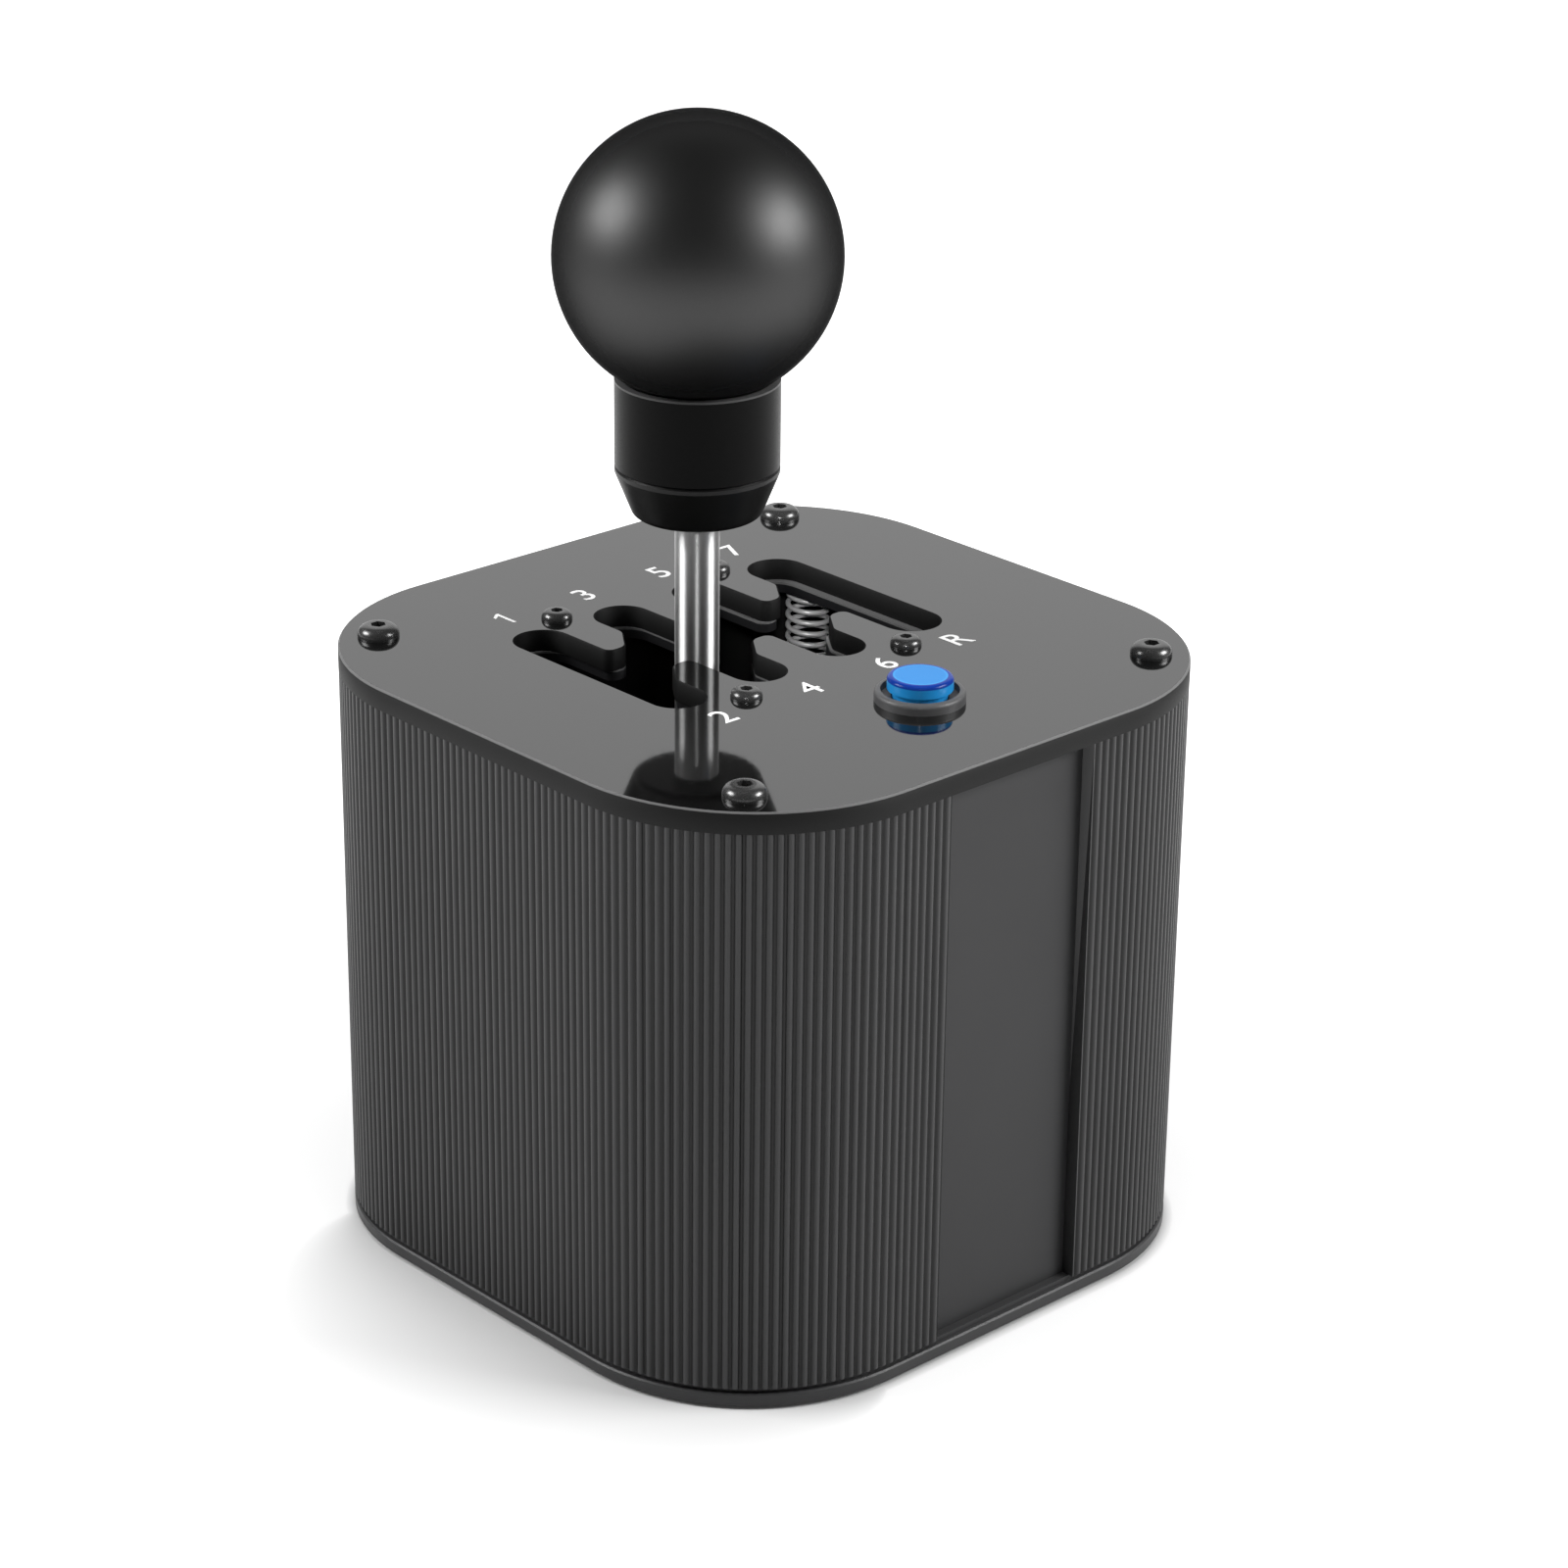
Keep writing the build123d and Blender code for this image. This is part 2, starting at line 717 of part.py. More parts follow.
with BuildPart() as yoke:
    with BuildSketch(Plane.XY.offset(pivot_z - yoke_drop)):
        with Locations((pivot_x, pivot_y)):
            RectangleRounded(2 * yoke_half_width, 2 * yoke_half_depth, yoke_corner)
            Rectangle(
                2 * (yoke_half_width - yoke_wall), 2 * (yoke_half_depth - yoke_wall), mode=Mode.SUBTRACT
            )
    extrude(amount=yoke_drop + yoke_rise)
    with BuildSketch(Plane.XY.offset(pivot_z + yoke_rise)):
        with Locations(*[
            (pivot_x + side * upright_x, pivot_y + yoke_half_depth - upright_depth / 2)
            for side in sides
        ]):
            RectangleRounded(yoke_wall, upright_depth, yoke_corner)
    extrude(amount=upright_rise - yoke_rise)
    with BuildSketch(Plane.XY.offset(upright_top)):
        with Locations(*bar_screw_places):
            Circle(bar_screw_radius)
    extrude(amount=-bar_screw_depth, mode=Mode.SUBTRACT)
    with BuildSketch(Plane.XZ.offset(-(pivot_y + yoke_half_depth + overrun))):
        with Locations((pivot_x, pivot_z)):
            Circle(shaft_radius)
    extrude(amount=2 * (yoke_half_depth + overrun), mode=Mode.SUBTRACT)
    with BuildSketch(Plane.XZ.offset(-(pivot_y + yoke_half_depth + overrun))):
        with Locations((pivot_x + detent_x, pivot_z)):
            Circle(detent_sleeve_radius)
    extrude(amount=yoke_half_depth, mode=Mode.SUBTRACT)
    with BuildSketch(Plane.YZ.offset(pivot_x - yoke_half_width - overrun)):
        with Locations((pivot_y, pivot_z)):
            Circle(bush_radius)
    extrude(amount=2 * (yoke_half_width + overrun), mode=Mode.SUBTRACT)
yoke.part.label = "yoke"
export_step(yoke.part, "parts/yoke.step")

# Stub shafts of the select axis, pressed into the yoke, with a shoulder against each bush
end_play = 0.1
shoulder_radius = 5.5
shaft_past_bracket = 1.5
shoulder = bracket_inner - select_flange - yoke_half_depth - end_play
stub_length = bracket_outer + shaft_past_bracket - (yoke_half_depth - yoke_wall)


def select_shaft(direction):
    """One stub shaft with its shoulder."""
    inner_end = Plane(
        origin=(pivot_x, pivot_y + direction * (yoke_half_depth - yoke_wall), pivot_z),
        z_dir=(0, direction, 0),
    )
    with BuildPart() as shaft:
        with BuildSketch(inner_end):
            Circle(shaft_radius)
        extrude(amount=stub_length)
        with BuildSketch(inner_end.offset(yoke_wall)):
            Circle(shoulder_radius)
        extrude(amount=shoulder)
        outer_end = shaft.faces().filter_by(Axis.Y).sort_by(Axis.Y, reverse=direction < 0)[-1]
        chamfer(outer_end.edges(), edge_break)
    return shaft


select_shaft_front = select_shaft(-1)
select_shaft_front.part.label = "select_shaft_front"
export_step(select_shaft_front.part, "parts/select_shaft_front.step")

select_shaft_rear = select_shaft(1)
select_shaft_rear.part.label = "select_shaft_rear"
export_step(select_shaft_rear.part, "parts/select_shaft_rear.step")

# Magnet and sensor board that read the select axis, behind the rear bracket
magnet_radius = 3.0
magnet_thickness = 2.0
sensor_gap = 1.0
sensor_thickness = 1.6
sensor_width = 22.0
sensor_height = 20.0
sensor_corner = 1.0
chip_width = 5.0
chip_height = 4.0
chip_thickness = 1.2
spacer_radius = 2.0
spacer_x = 8.5
spacer_z = 6.5
select_shaft_end = pivot_y + bracket_outer + shaft_past_bracket
select_sensor_y = select_shaft_end + magnet_thickness + sensor_gap

select_magnet = posts(
    [(pivot_x, pivot_z)], Plane.XZ.offset(-select_shaft_end), magnet_radius, -magnet_thickness
)
select_magnet.part.label = "select_magnet"
export_step(select_magnet.part, "parts/select_magnet.step")

with BuildPart() as select_sensor_board:
    with BuildSketch(Plane.XZ.offset(-select_sensor_y)):
        with Locations((pivot_x, pivot_z)):
            RectangleRounded(sensor_width, sensor_height, sensor_corner)
    extrude(amount=-sensor_thickness)
    with BuildSketch(Plane.XZ.offset(-(select_sensor_y + sensor_thickness))):
        with Locations((pivot_x, pivot_z)):
            Rectangle(chip_width, chip_height)
    extrude(amount=-chip_thickness)
select_sensor_board.part.label = "select_sensor_board"
export_step(select_sensor_board.part, "parts/select_sensor_board.step")

select_spacers = posts(
    [(pivot_x + side * spacer_x, pivot_z + spacer_z) for side in sides],
    Plane.XZ.offset(-(pivot_y + bracket_outer)), spacer_radius,
    -(select_sensor_y - pivot_y - bracket_outer),
)
select_spacers.part.label = "select_spacers"
export_step(select_spacers.part, "parts/select_spacers.step")

# Spring bar across the yoke's uprights, which the centring springs pull up
bar_thickness = 4.0
bar_width = 9.0
spring_right_inset = 25.0
spring_left_inset = 13.5
bar_past_spring = 4.5
spring_right_x = body_half - spring_right_inset
spring_left_x = spring_left_inset - body_half
bar_bottom = upright_top
bar_top = bar_bottom + bar_thickness
bar_left = spring_left_x - bar_past_spring
bar_right = spring_right_x + bar_past_spring

with BuildPart() as spring_bar:
    with BuildSketch(Plane.XY.offset(bar_bottom)):
        with Locations(((bar_left + bar_right) / 2, spring_y)):
            SlotOverall(bar_right - bar_left, bar_width)
        with Locations(*bar_screw_places):
            Circle(bar_screw_radius + loose_gap, mode=Mode.SUBTRACT)
    extrude(amount=bar_thickness)
spring_bar.part.label = "spring_bar"
export_step(spring_bar.part, "parts/spring_bar.step")

bar_screws = button_screws(
    bar_screw_places, bar_top, corner_head_radius, corner_head_height, corner_socket_width,
    bar_screw_radius, bar_thickness + bar_screw_depth - overrun,
)
bar_screws.part.label = "bar_screws"
export_step(bar_screws.part, "parts/bar_screws.step")

# Coil springs that centre the select axis, from the spring bar up to the gate plate
spring_mean_radius = 3.9
spring_wire_radius = 0.5
spring_pitch = 2.1

spring_right = coil(
    "spring_right", Plane(origin=(spring_right_x, spring_y, bar_top), z_dir=(0, 0, 1)),
    gate_bottom - bar_top, spring_mean_radius, spring_wire_radius, spring_pitch,
)
spring_right.part.label = "spring_right"
export_step(spring_right.part, "parts/spring_right.step")

spring_left = coil(
    "spring_left", Plane(origin=(spring_left_x, spring_y, bar_top), z_dir=(0, 0, 1)),
    gate_bottom - bar_top, spring_mean_radius, spring_wire_radius, spring_pitch,
)
spring_left.part.label = "spring_left"
export_step(spring_left.part, "parts/spring_left.step")

# Bushes of the shift axis, in the yoke's side walls
cross_flange = 1.8
cross_inner = yoke_half_width - yoke_wall - cross_flange


def cross_bush(direction):
    """Flanged bush of one side wall, its flange on the lever's side."""
    seat = Plane(origin=(pivot_x + direction * cross_inner, pivot_y, pivot_z), z_dir=(direction, 0, 0))
    return flanged_bush(seat, bush_bore, bush_radius, bush_flange_radius, cross_flange, yoke_wall)


cross_bush_left = cross_bush(-1)
cross_bush_left.part.label = "cross_bush_left"
export_step(cross_bush_left.part, "parts/cross_bush_left.step")

cross_bush_right = cross_bush(1)
cross_bush_right.part.label = "cross_bush_right"
export_step(cross_bush_right.part, "parts/cross_bush_right.step")

# Cross shaft of the shift axis, fixed in the lever's foot, with its magnet and sensor board
cross_half_length = 21.5
cross_shaft_left = pivot_x - cross_half_length
shift_sensor_x = cross_shaft_left - magnet_thickness - sensor_gap
shift_sensor_depth = 16.0
shift_spacer_y = 6.0

cross_shaft = posts(
    [(pivot_y, pivot_z)], Plane.YZ.offset(cross_shaft_left), shaft_radius, 2 * cross_half_length
)
cross_shaft.part.label = "cross_shaft"
export_step(cross_shaft.part, "parts/cross_shaft.step")

shift_magnet = posts(
    [(pivot_y, pivot_z)], Plane.YZ.offset(cross_shaft_left), magnet_radius, -magnet_thickness
)
shift_magnet.part.label = "shift_magnet"
export_step(shift_magnet.part, "parts/shift_magnet.step")

with BuildPart() as shift_sensor_board:
    with BuildSketch(Plane.YZ.offset(shift_sensor_x)):
        with Locations((pivot_y, pivot_z)):
            RectangleRounded(shift_sensor_depth, shift_sensor_depth, sensor_corner)
    extrude(amount=-sensor_thickness)
    with BuildSketch(Plane.YZ.offset(shift_sensor_x - sensor_thickness)):
        with Locations((pivot_y, pivot_z)):
            Rectangle(chip_width, chip_height)
    extrude(amount=-chip_thickness)
shift_sensor_board.part.label = "shift_sensor_board"
export_step(shift_sensor_board.part, "parts/shift_sensor_board.step")

shift_spacers = posts(
    [(pivot_y + side * shift_spacer_y, pivot_z + shift_spacer_y) for side in sides],
    Plane.YZ.offset(pivot_x - yoke_half_width), spacer_radius,
    -(pivot_x - yoke_half_width - shift_sensor_x),
)
shift_spacers.part.label = "shift_spacers"
export_step(shift_spacers.part, "parts/shift_spacers.step")

# Lever foot: hub, socket for the rod, and a nose with three notches
foot_half_width = 12.0
hub_radius = 11.0
socket_radius = 9.0
socket_top = 20.0
socket_floor = 5.5
nose_gap = 10.0
nose_half_height = 8.0
nose_start = 4.0
notch_depth = 0.5
notch_gap = 0.15
ball_tip_radius = 1.8
nose_radius = yoke_half_depth - nose_gap
far_angle = math.atan(far_travel / (top_reach * math.hypot(1, column_slopes[-1])))
near_angle = math.atan(near_travel / (top_reach * math.hypot(1, column_slopes[-1])))
notch_middle = nose_radius - notch_depth + ball_tip_radius
notch_places = [
    (pivot_y + notch_middle * math.cos(angle), pivot_z + notch_middle * math.sin(angle))
    for angle in (-near_angle, 0, far_angle)
]

with BuildPart() as lever_foot:
    with BuildSketch(Plane.YZ.offset(pivot_x - foot_half_width)):
        with Locations((pivot_y, pivot_z)):
            Circle(hub_radius)
    extrude(amount=2 * foot_half_width)
    with BuildSketch(Plane.XY.offset(pivot_z)):
        with Locations((pivot_x, pivot_y)):
            Circle(socket_radius)
    extrude(amount=socket_top)
    with BuildSketch(Plane.YZ.offset(pivot_x + nose_start)):
        with Locations((pivot_y, pivot_z)):
            Circle(nose_radius)
        with Locations((pivot_y + nose_radius / 2, pivot_z)):
            Rectangle(nose_radius, 2 * nose_half_height, mode=Mode.INTERSECT)
        with Locations(*notch_places):
            Circle(ball_tip_radius + notch_gap, mode=Mode.SUBTRACT)
    extrude(amount=foot_half_width - nose_start)
    with BuildSketch(Plane.YZ.offset(pivot_x - foot_half_width - overrun)):
        with Locations((pivot_y, pivot_z)):
            Circle(shaft_radius)
    extrude(amount=2 * (foot_half_width + overrun), mode=Mode.SUBTRACT)
    with BuildSketch(Plane.XY.offset(pivot_z + socket_floor)):
        with Locations((pivot_x, pivot_y)):
            Circle(lever_radius)
    extrude(amount=socket_top, mode=Mode.SUBTRACT)
lever_foot.part.label = "lever_foot"
export_step(lever_foot.part, "parts/lever_foot.step")

# Detent: sleeve in the yoke's rear wall, with a round-tipped plunger and its spring
detent_land_gap = 0.2
detent_bore_radius = 2.1
sleeve_length = 8.5
sleeve_floor = 1.0
plunger_length = 3.5
detent_wire_radius = 0.25
detent_coil_radius = 1.4
detent_pitch = 0.95
sleeve_end = yoke_half_depth
sleeve_start = sleeve_end - sleeve_length
detent_axis_x = pivot_x + detent_x
plunger_tip = nose_radius + detent_land_gap
plunger_back = plunger_tip + plunger_length
detent_seat = Plane(origin=(detent_axis_x, pivot_y + plunger_back, pivot_z), z_dir=(0, 1, 0))

with BuildPart() as detent_sleeve:
    with BuildSketch(Plane.XZ.offset(-(pivot_y + sleeve_start))):
        with Locations((detent_axis_x, pivot_z)):
            Circle(detent_sleeve_radius)
    extrude(amount=-(sleeve_end - sleeve_start))
    with BuildSketch(Plane.XZ.offset(-(pivot_y + sleeve_start))):
        with Locations((detent_axis_x, pivot_z)):
            Circle(detent_bore_radius)
    extrude(amount=-(sleeve_end - sleeve_start - sleeve_floor), mode=Mode.SUBTRACT)
detent_sleeve.part.label = "detent_sleeve"
export_step(detent_sleeve.part, "parts/detent_sleeve.step")

with BuildPart() as detent_plunger:
    with BuildSketch(Plane.XZ.offset(-(pivot_y + plunger_tip + ball_tip_radius))):
        with Locations((detent_axis_x, pivot_z)):
            Circle(ball_tip_radius)
    extrude(amount=-(plunger_length - ball_tip_radius))
    with Locations((detent_axis_x, pivot_y + plunger_tip + ball_tip_radius, pivot_z)):
        Sphere(ball_tip_radius)
detent_plunger.part.label = "detent_plunger"
export_step(detent_plunger.part, "parts/detent_plunger.step")

detent_spring = coil(
    "detent_spring", detent_seat, sleeve_end - sleeve_floor - plunger_back,
    detent_coil_radius, detent_wire_radius, detent_pitch,
)
detent_spring.part.label = "detent_spring"
export_step(detent_spring.part, "parts/detent_spring.step")

# Lever rod and the nut that locks it in the foot
lock_nut_width = 13.0
lock_nut_thickness = 5.0
rod_past_ball = 11.5
rod_top = ball_z - rod_past_ball

lever_rod = posts(
    [(pivot_x, pivot_y)], Plane.XY.offset(pivot_z + socket_floor), lever_radius,
    rod_top - pivot_z - socket_floor,
)
lever_rod.part.label = "lever_rod"
export_step(lever_rod.part, "parts/lever_rod.step")

lever_lock_nut = hex_nut(
    (pivot_x, pivot_y), pivot_z + socket_top, lock_nut_thickness, lock_nut_width, lever_radius
)
lever_lock_nut.part.label = "lever_lock_nut"
export_step(lever_lock_nut.part, "parts/lever_lock_nut.step")

# Cone nut, collar, threaded insert and ball knob
cone_rise = 24.9
cone_low_radius = 11.4
cone_round = 1.6
cone_top_rise = 33.0
collar_start_rise = 34.0
collar_top_rise = 49.9
collar_radius = 14.65
cup_gap = 0.15
insert_radius_in_knob = 6.0
insert_length = 15.0
insert_start = 1.0
cone_low = top_surface + cone_rise
cone_top = top_surface + cone_top_rise
collar_low = top_surface + collar_start_rise
collar_top = top_surface + collar_top_rise
insert_low = ball_z - ball_radius + insert_start

with BuildPart() as cone_nut:
    with BuildSketch(lever_plane):
        with BuildLine():
            Polyline(
                (lever_radius, cone_low),
                (cone_low_radius, cone_low),
                (collar_radius, cone_top),
                (collar_radius, collar_low),
                (lever_radius, collar_low),
                close=True,
            )
        make_face()
    revolve(axis=lever_axis)
    fillet(cone_nut.faces().sort_by(Axis.Z)[0].outer_wire().edges(), cone_round)
    chamfer(cone_nut.faces().sort_by(Axis.Z)[-1].outer_wire().edges(), edge_break)
cone_nut.part.label = "cone_nut"
export_step(cone_nut.part, "parts/cone_nut.step")

with BuildPart() as collar:
    with BuildSketch(Plane.XY.offset(collar_low)):
        with Locations((pivot_x, pivot_y)):
            Circle(collar_radius)
            Circle(lever_radius, mode=Mode.SUBTRACT)
    extrude(amount=collar_top - collar_low)
    chamfer(collar.faces().sort_by(Axis.Z)[0].outer_wire().edges(), edge_break)
    with Locations((pivot_x, pivot_y, ball_z)):
        Sphere(ball_radius + cup_gap, mode=Mode.SUBTRACT)
collar.part.label = "collar"
export_step(collar.part, "parts/collar.step")

with BuildPart() as knob_insert:
    with BuildSketch(Plane.XY.offset(insert_low)):
        with Locations((pivot_x, pivot_y)):
            Circle(insert_radius_in_knob)
            Circle(lever_radius, mode=Mode.SUBTRACT)
    extrude(amount=insert_length)
knob_insert.part.label = "knob_insert"
export_step(knob_insert.part, "parts/knob_insert.step")

with BuildPart() as knob:
    with Locations((pivot_x, pivot_y, ball_z)):
        Sphere(ball_radius)
    with BuildSketch(Plane.XY.offset(ball_z - ball_radius)):
        with Locations((pivot_x, pivot_y)):
            Circle(insert_radius_in_knob)
    extrude(amount=insert_start + insert_length, mode=Mode.SUBTRACT)
knob.part.label = "knob"
export_step(knob.part, "parts/knob.step")

# Controller board on three standoffs: the USB socket in the rear strip steadies its fourth corner
board_past_usb = 6.0
board_length = 36.0
board_depth = 15.5
board_gap = 0.5
board_corner = 1.0
standoff_inset = 3.0
standoff_radius = 2.5
board_screw_radius = 1.25
board_head_radius = 2.3
board_head_height = 1.5
board_socket_width = 1.5
processor_side = 7.0
processor_thickness = 1.0
socket_block_inset = 6.0
socket_block_width = 7.0
socket_block_depth = 5.0
socket_block_height = 4.0
board_left = usb_x - board_past_usb
board_right = board_left + board_length
board_rear = rear_pad_inner - board_gap
board_front = board_rear - board_depth
board_middle_x = (board_left + board_right) / 2
board_middle_y = (board_front + board_rear) / 2
socket_block_x = board_right - socket_block_inset
socket_block_y = board_middle_y
standoff_places = [
    (board_left + standoff_inset, board_front + standoff_inset),
    (board_right - standoff_inset, board_front + standoff_inset),
    (board_right - standoff_inset, board_rear - standoff_inset),
]

with BuildPart() as controller_board:
    with BuildSketch(Plane.XY.offset(board_bottom)):
        with Locations((board_middle_x, board_middle_y)):
            RectangleRounded(board_right - board_left, board_rear - board_front, board_corner)
        with Locations(*standoff_places):
            Circle(board_screw_radius + running_gap, mode=Mode.SUBTRACT)
    extrude(amount=board_thickness)
    with BuildSketch(Plane.XY.offset(board_top)):
        with Locations((board_middle_x, board_middle_y)):
            Rectangle(processor_side, processor_side)
    extrude(amount=processor_thickness)
    with BuildSketch(Plane.XY.offset(board_top)):
        with Locations((socket_block_x, socket_block_y)):
            Rectangle(socket_block_width, socket_block_depth)
    extrude(amount=socket_block_height)
controller_board.part.label = "controller_board"
export_step(controller_board.part, "parts/controller_board.step")

board_standoffs = posts(standoff_places, Plane.XY.offset(base_top), standoff_radius, board_rise)
board_standoffs.part.label = "board_standoffs"
export_step(board_standoffs.part, "parts/board_standoffs.step")

board_screws = button_screws(
    standoff_places, board_top, board_head_radius, board_head_height, board_socket_width,
    board_screw_radius, board_thickness,
)
board_screws.part.label = "board_screws"
export_step(board_screws.part, "parts/board_screws.step")

usb_length = 9.7
usb_front_gap = 0.3
usb_shell = 0.35
usb_tongue_height = 0.7
usb_tongue_width = 6.7
usb_mouth_depth = 6.5
usb_front = body_half - rear_recess_depth - usb_front_gap
usb_back = usb_front - usb_length
usb_floor = usb_front - usb_mouth_depth

with BuildPart() as usb_socket:
    with BuildSketch(Plane.XZ.offset(-usb_back)):
        with Locations((usb_x, usb_z)):
            SlotOverall(usb_width, usb_height)
    extrude(amount=-(usb_front - usb_back))
    with BuildSketch(Plane.XZ.offset(-usb_floor)):
        with Locations((usb_x, usb_z)):
            SlotOverall(usb_width - 2 * usb_shell, usb_height - 2 * usb_shell)
            Rectangle(usb_tongue_width, usb_tongue_height, mode=Mode.SUBTRACT)
    extrude(amount=-usb_mouth_depth, mode=Mode.SUBTRACT)
usb_socket.part.label = "usb_socket"
export_step(usb_socket.part, "parts/usb_socket.step")

# Wiring: a plug under the button with its lead, and the select sensor's lead
plug_width = 9.0
plug_depth = 5.0
plug_height = 6.0
plug_overlap = 3.0
button_lead_radius = 1.0
sensor_lead_radius = 0.7
lead_drop = 18.0
pin_bottom = top_surface - button_body_depth - pin_length
plug_bottom = pin_bottom + plug_overlap - plug_height
sensor_edge_x = pivot_x + sensor_width / 2
sensor_middle_y = select_sensor_y + sensor_thickness / 2

with BuildPart() as button_plug:
    with BuildSketch(Plane.XY.offset(plug_bottom)):
        with Locations(button_place):
            Rectangle(plug_width, plug_depth)
    extrude(amount=plug_height)
    with BuildSketch(Plane.XY.offset(pin_bottom)):
        with Locations(*pin_places):
            Circle(pin_radius)
    extrude(amount=plug_height, mode=Mode.SUBTRACT)
button_plug.part.label = "button_plug"
export_step(button_plug.part, "parts/button_plug.step")

button_lead_route = [
    (button_x, button_y, plug_bottom),
    (button_x, button_y, plug_bottom - lead_drop),
    (15.0, -44.0, 46.0),
    (32.0, -44.0, 24.0),
    (47.0, -30.0, 12.0),
    (52.0, -8.0, 8.0),
    (53.5, 14.0, 8.5),
    (51.5, 32.0, 12.0),
    (45.0, 41.0, 18.0),
    (38.5, 45.5, 21.5),
    (socket_block_x, socket_block_y, 19.5),
    (socket_block_x, socket_block_y, board_top + socket_block_height),
]
button_lead = lead("button_lead", button_lead_route, button_lead_radius)
button_lead.part.label = "button_lead"
export_step(button_lead.part, "parts/button_lead.step")

sensor_lead_route = [
    (sensor_edge_x, sensor_middle_y, 24.0),
    (6.5, sensor_middle_y, 24.0),
    (11.0, 47.2, 21.5),
    (13.0, 45.8, 17.0),
    (13.0, 45.8, board_top),
]
sensor_lead = lead("sensor_lead", sensor_lead_route, sensor_lead_radius)
sensor_lead.part.label = "sensor_lead"
export_step(sensor_lead.part, "parts/sensor_lead.step")
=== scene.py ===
import math

import bmesh
import bpy
from mathutils import Matrix, Vector


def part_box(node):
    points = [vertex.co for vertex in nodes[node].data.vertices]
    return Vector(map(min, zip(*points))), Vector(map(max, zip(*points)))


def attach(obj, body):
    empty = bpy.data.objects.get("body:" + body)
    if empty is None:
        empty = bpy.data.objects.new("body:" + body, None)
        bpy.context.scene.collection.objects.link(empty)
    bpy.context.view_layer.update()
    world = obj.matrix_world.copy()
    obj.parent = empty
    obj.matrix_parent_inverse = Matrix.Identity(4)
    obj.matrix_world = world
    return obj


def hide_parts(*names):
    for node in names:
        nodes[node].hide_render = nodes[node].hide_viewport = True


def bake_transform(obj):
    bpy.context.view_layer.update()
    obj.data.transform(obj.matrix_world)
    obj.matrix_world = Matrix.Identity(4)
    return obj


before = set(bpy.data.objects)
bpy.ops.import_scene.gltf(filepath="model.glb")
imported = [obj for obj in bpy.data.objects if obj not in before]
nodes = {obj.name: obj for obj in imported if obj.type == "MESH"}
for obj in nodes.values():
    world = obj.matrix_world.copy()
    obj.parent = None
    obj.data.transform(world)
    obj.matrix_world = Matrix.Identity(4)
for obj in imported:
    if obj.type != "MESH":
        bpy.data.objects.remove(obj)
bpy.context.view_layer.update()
mm = 0.001

# Camera: a long lens in front of the near left corner, looking down on the top plate.
# Its place follows the outlines of the housing, the plate and the ball in the photograph.
def place_new(name, data):
    """A new object at the origin, linked into the scene."""
    made = bpy.data.objects.new(name, data)
    bpy.context.scene.collection.objects.link(made)
    return made


camera_azimuth = math.radians(-42.921)
camera_elevation = math.radians(22.864)
camera_roll = math.radians(0.638)
camera_distance = 771.48 * mm
camera_target = Vector((-6.171, -12.399, 91.065)) * mm
camera_lens = 99.33
camera_sensor = 36.0

camera_back = Vector((
    math.sin(camera_azimuth) * math.cos(camera_elevation),
    -math.cos(camera_azimuth) * math.cos(camera_elevation),
    math.sin(camera_elevation),
))
camera_right = Vector((math.cos(camera_azimuth), math.sin(camera_azimuth), 0))
camera_up = camera_back.cross(camera_right)
camera_turn = Matrix.Rotation(camera_roll, 3, camera_back)
camera_data = bpy.data.cameras.new("camera")
camera_data.lens = camera_lens
camera_data.sensor_width = camera_sensor
camera = place_new("camera", camera_data)
camera_axes = [camera_turn @ camera_right, camera_turn @ camera_up, camera_back]
camera.matrix_world = (
    Matrix.Translation(camera_target + camera_back * camera_distance)
    @ Matrix(camera_axes).transposed().to_4x4()
)
bpy.context.scene.camera = camera


# Base plate: a black coated aluminium plate with a stepped edge that the housing stands on.
# Countersunk screws hold it from below, and four brass inserts take the mounting bolts.
def add_node(tree, kind, inputs=None, **settings):
    """A node of a shader or geometry tree: a socket given as an input is linked, a value is set."""
    node = tree.nodes.new(kind)
    for name, value in settings.items():
        setattr(node, name, value)
    for name, value in (inputs or {}).items():
        if isinstance(value, bpy.types.NodeSocket):
            tree.links.new(value, node.inputs[name])
        else:
            node.inputs[name].default_value = value
    return node


def add_grain(tree, shader, size, depth, rough, stretch=(1, 1, 1)):
    """Fine grain in object coordinates: it dents the surface and varies how rough it is."""
    place = add_node(tree, "ShaderNodeTexCoord")
    scale = [1 / (size * part) for part in stretch]
    turned = add_node(tree, "ShaderNodeMapping", {"Vector": place.outputs["Object"], "Scale": scale})
    noise = add_node(tree, "ShaderNodeTexNoise", {
        "Vector": turned.outputs["Vector"], "Scale": 1.0,
        "Detail": grain_detail, "Roughness": grain_harshness,
    })
    varied = add_node(tree, "ShaderNodeMapRange", {
        "Value": noise.outputs["Fac"], "From Min": noise_low_share, "From Max": noise_high_share,
        "To Min": rough[0], "To Max": rough[1],
    })
    bump = add_node(tree, "ShaderNodeBump", {
        "Height": noise.outputs["Fac"], "Strength": 1.0, "Distance": depth,
    })
    shader.inputs["Roughness"].default_value = sum(rough) / 2
    tree.links.new(varied.outputs["Result"], shader.inputs["Roughness"])
    tree.links.new(bump.outputs["Normal"], shader.inputs["Normal"])


def new_finish(name, colour, grain, metallic=0.0, sockets=None):
    """A finish with plain values on the shader's own sockets, and grain all over it."""
    finish = bpy.data.materials.new(name)
    finish.use_nodes = True
    tree = finish.node_tree
    shader = tree.nodes["Principled BSDF"]
    values = {"Base Color": (*colour, 1.0), "Metallic": metallic, **(sockets or {})}
    for socket, value in values.items():
        shader.inputs[socket].default_value = value
    add_grain(tree, shader, **grain)
    return finish


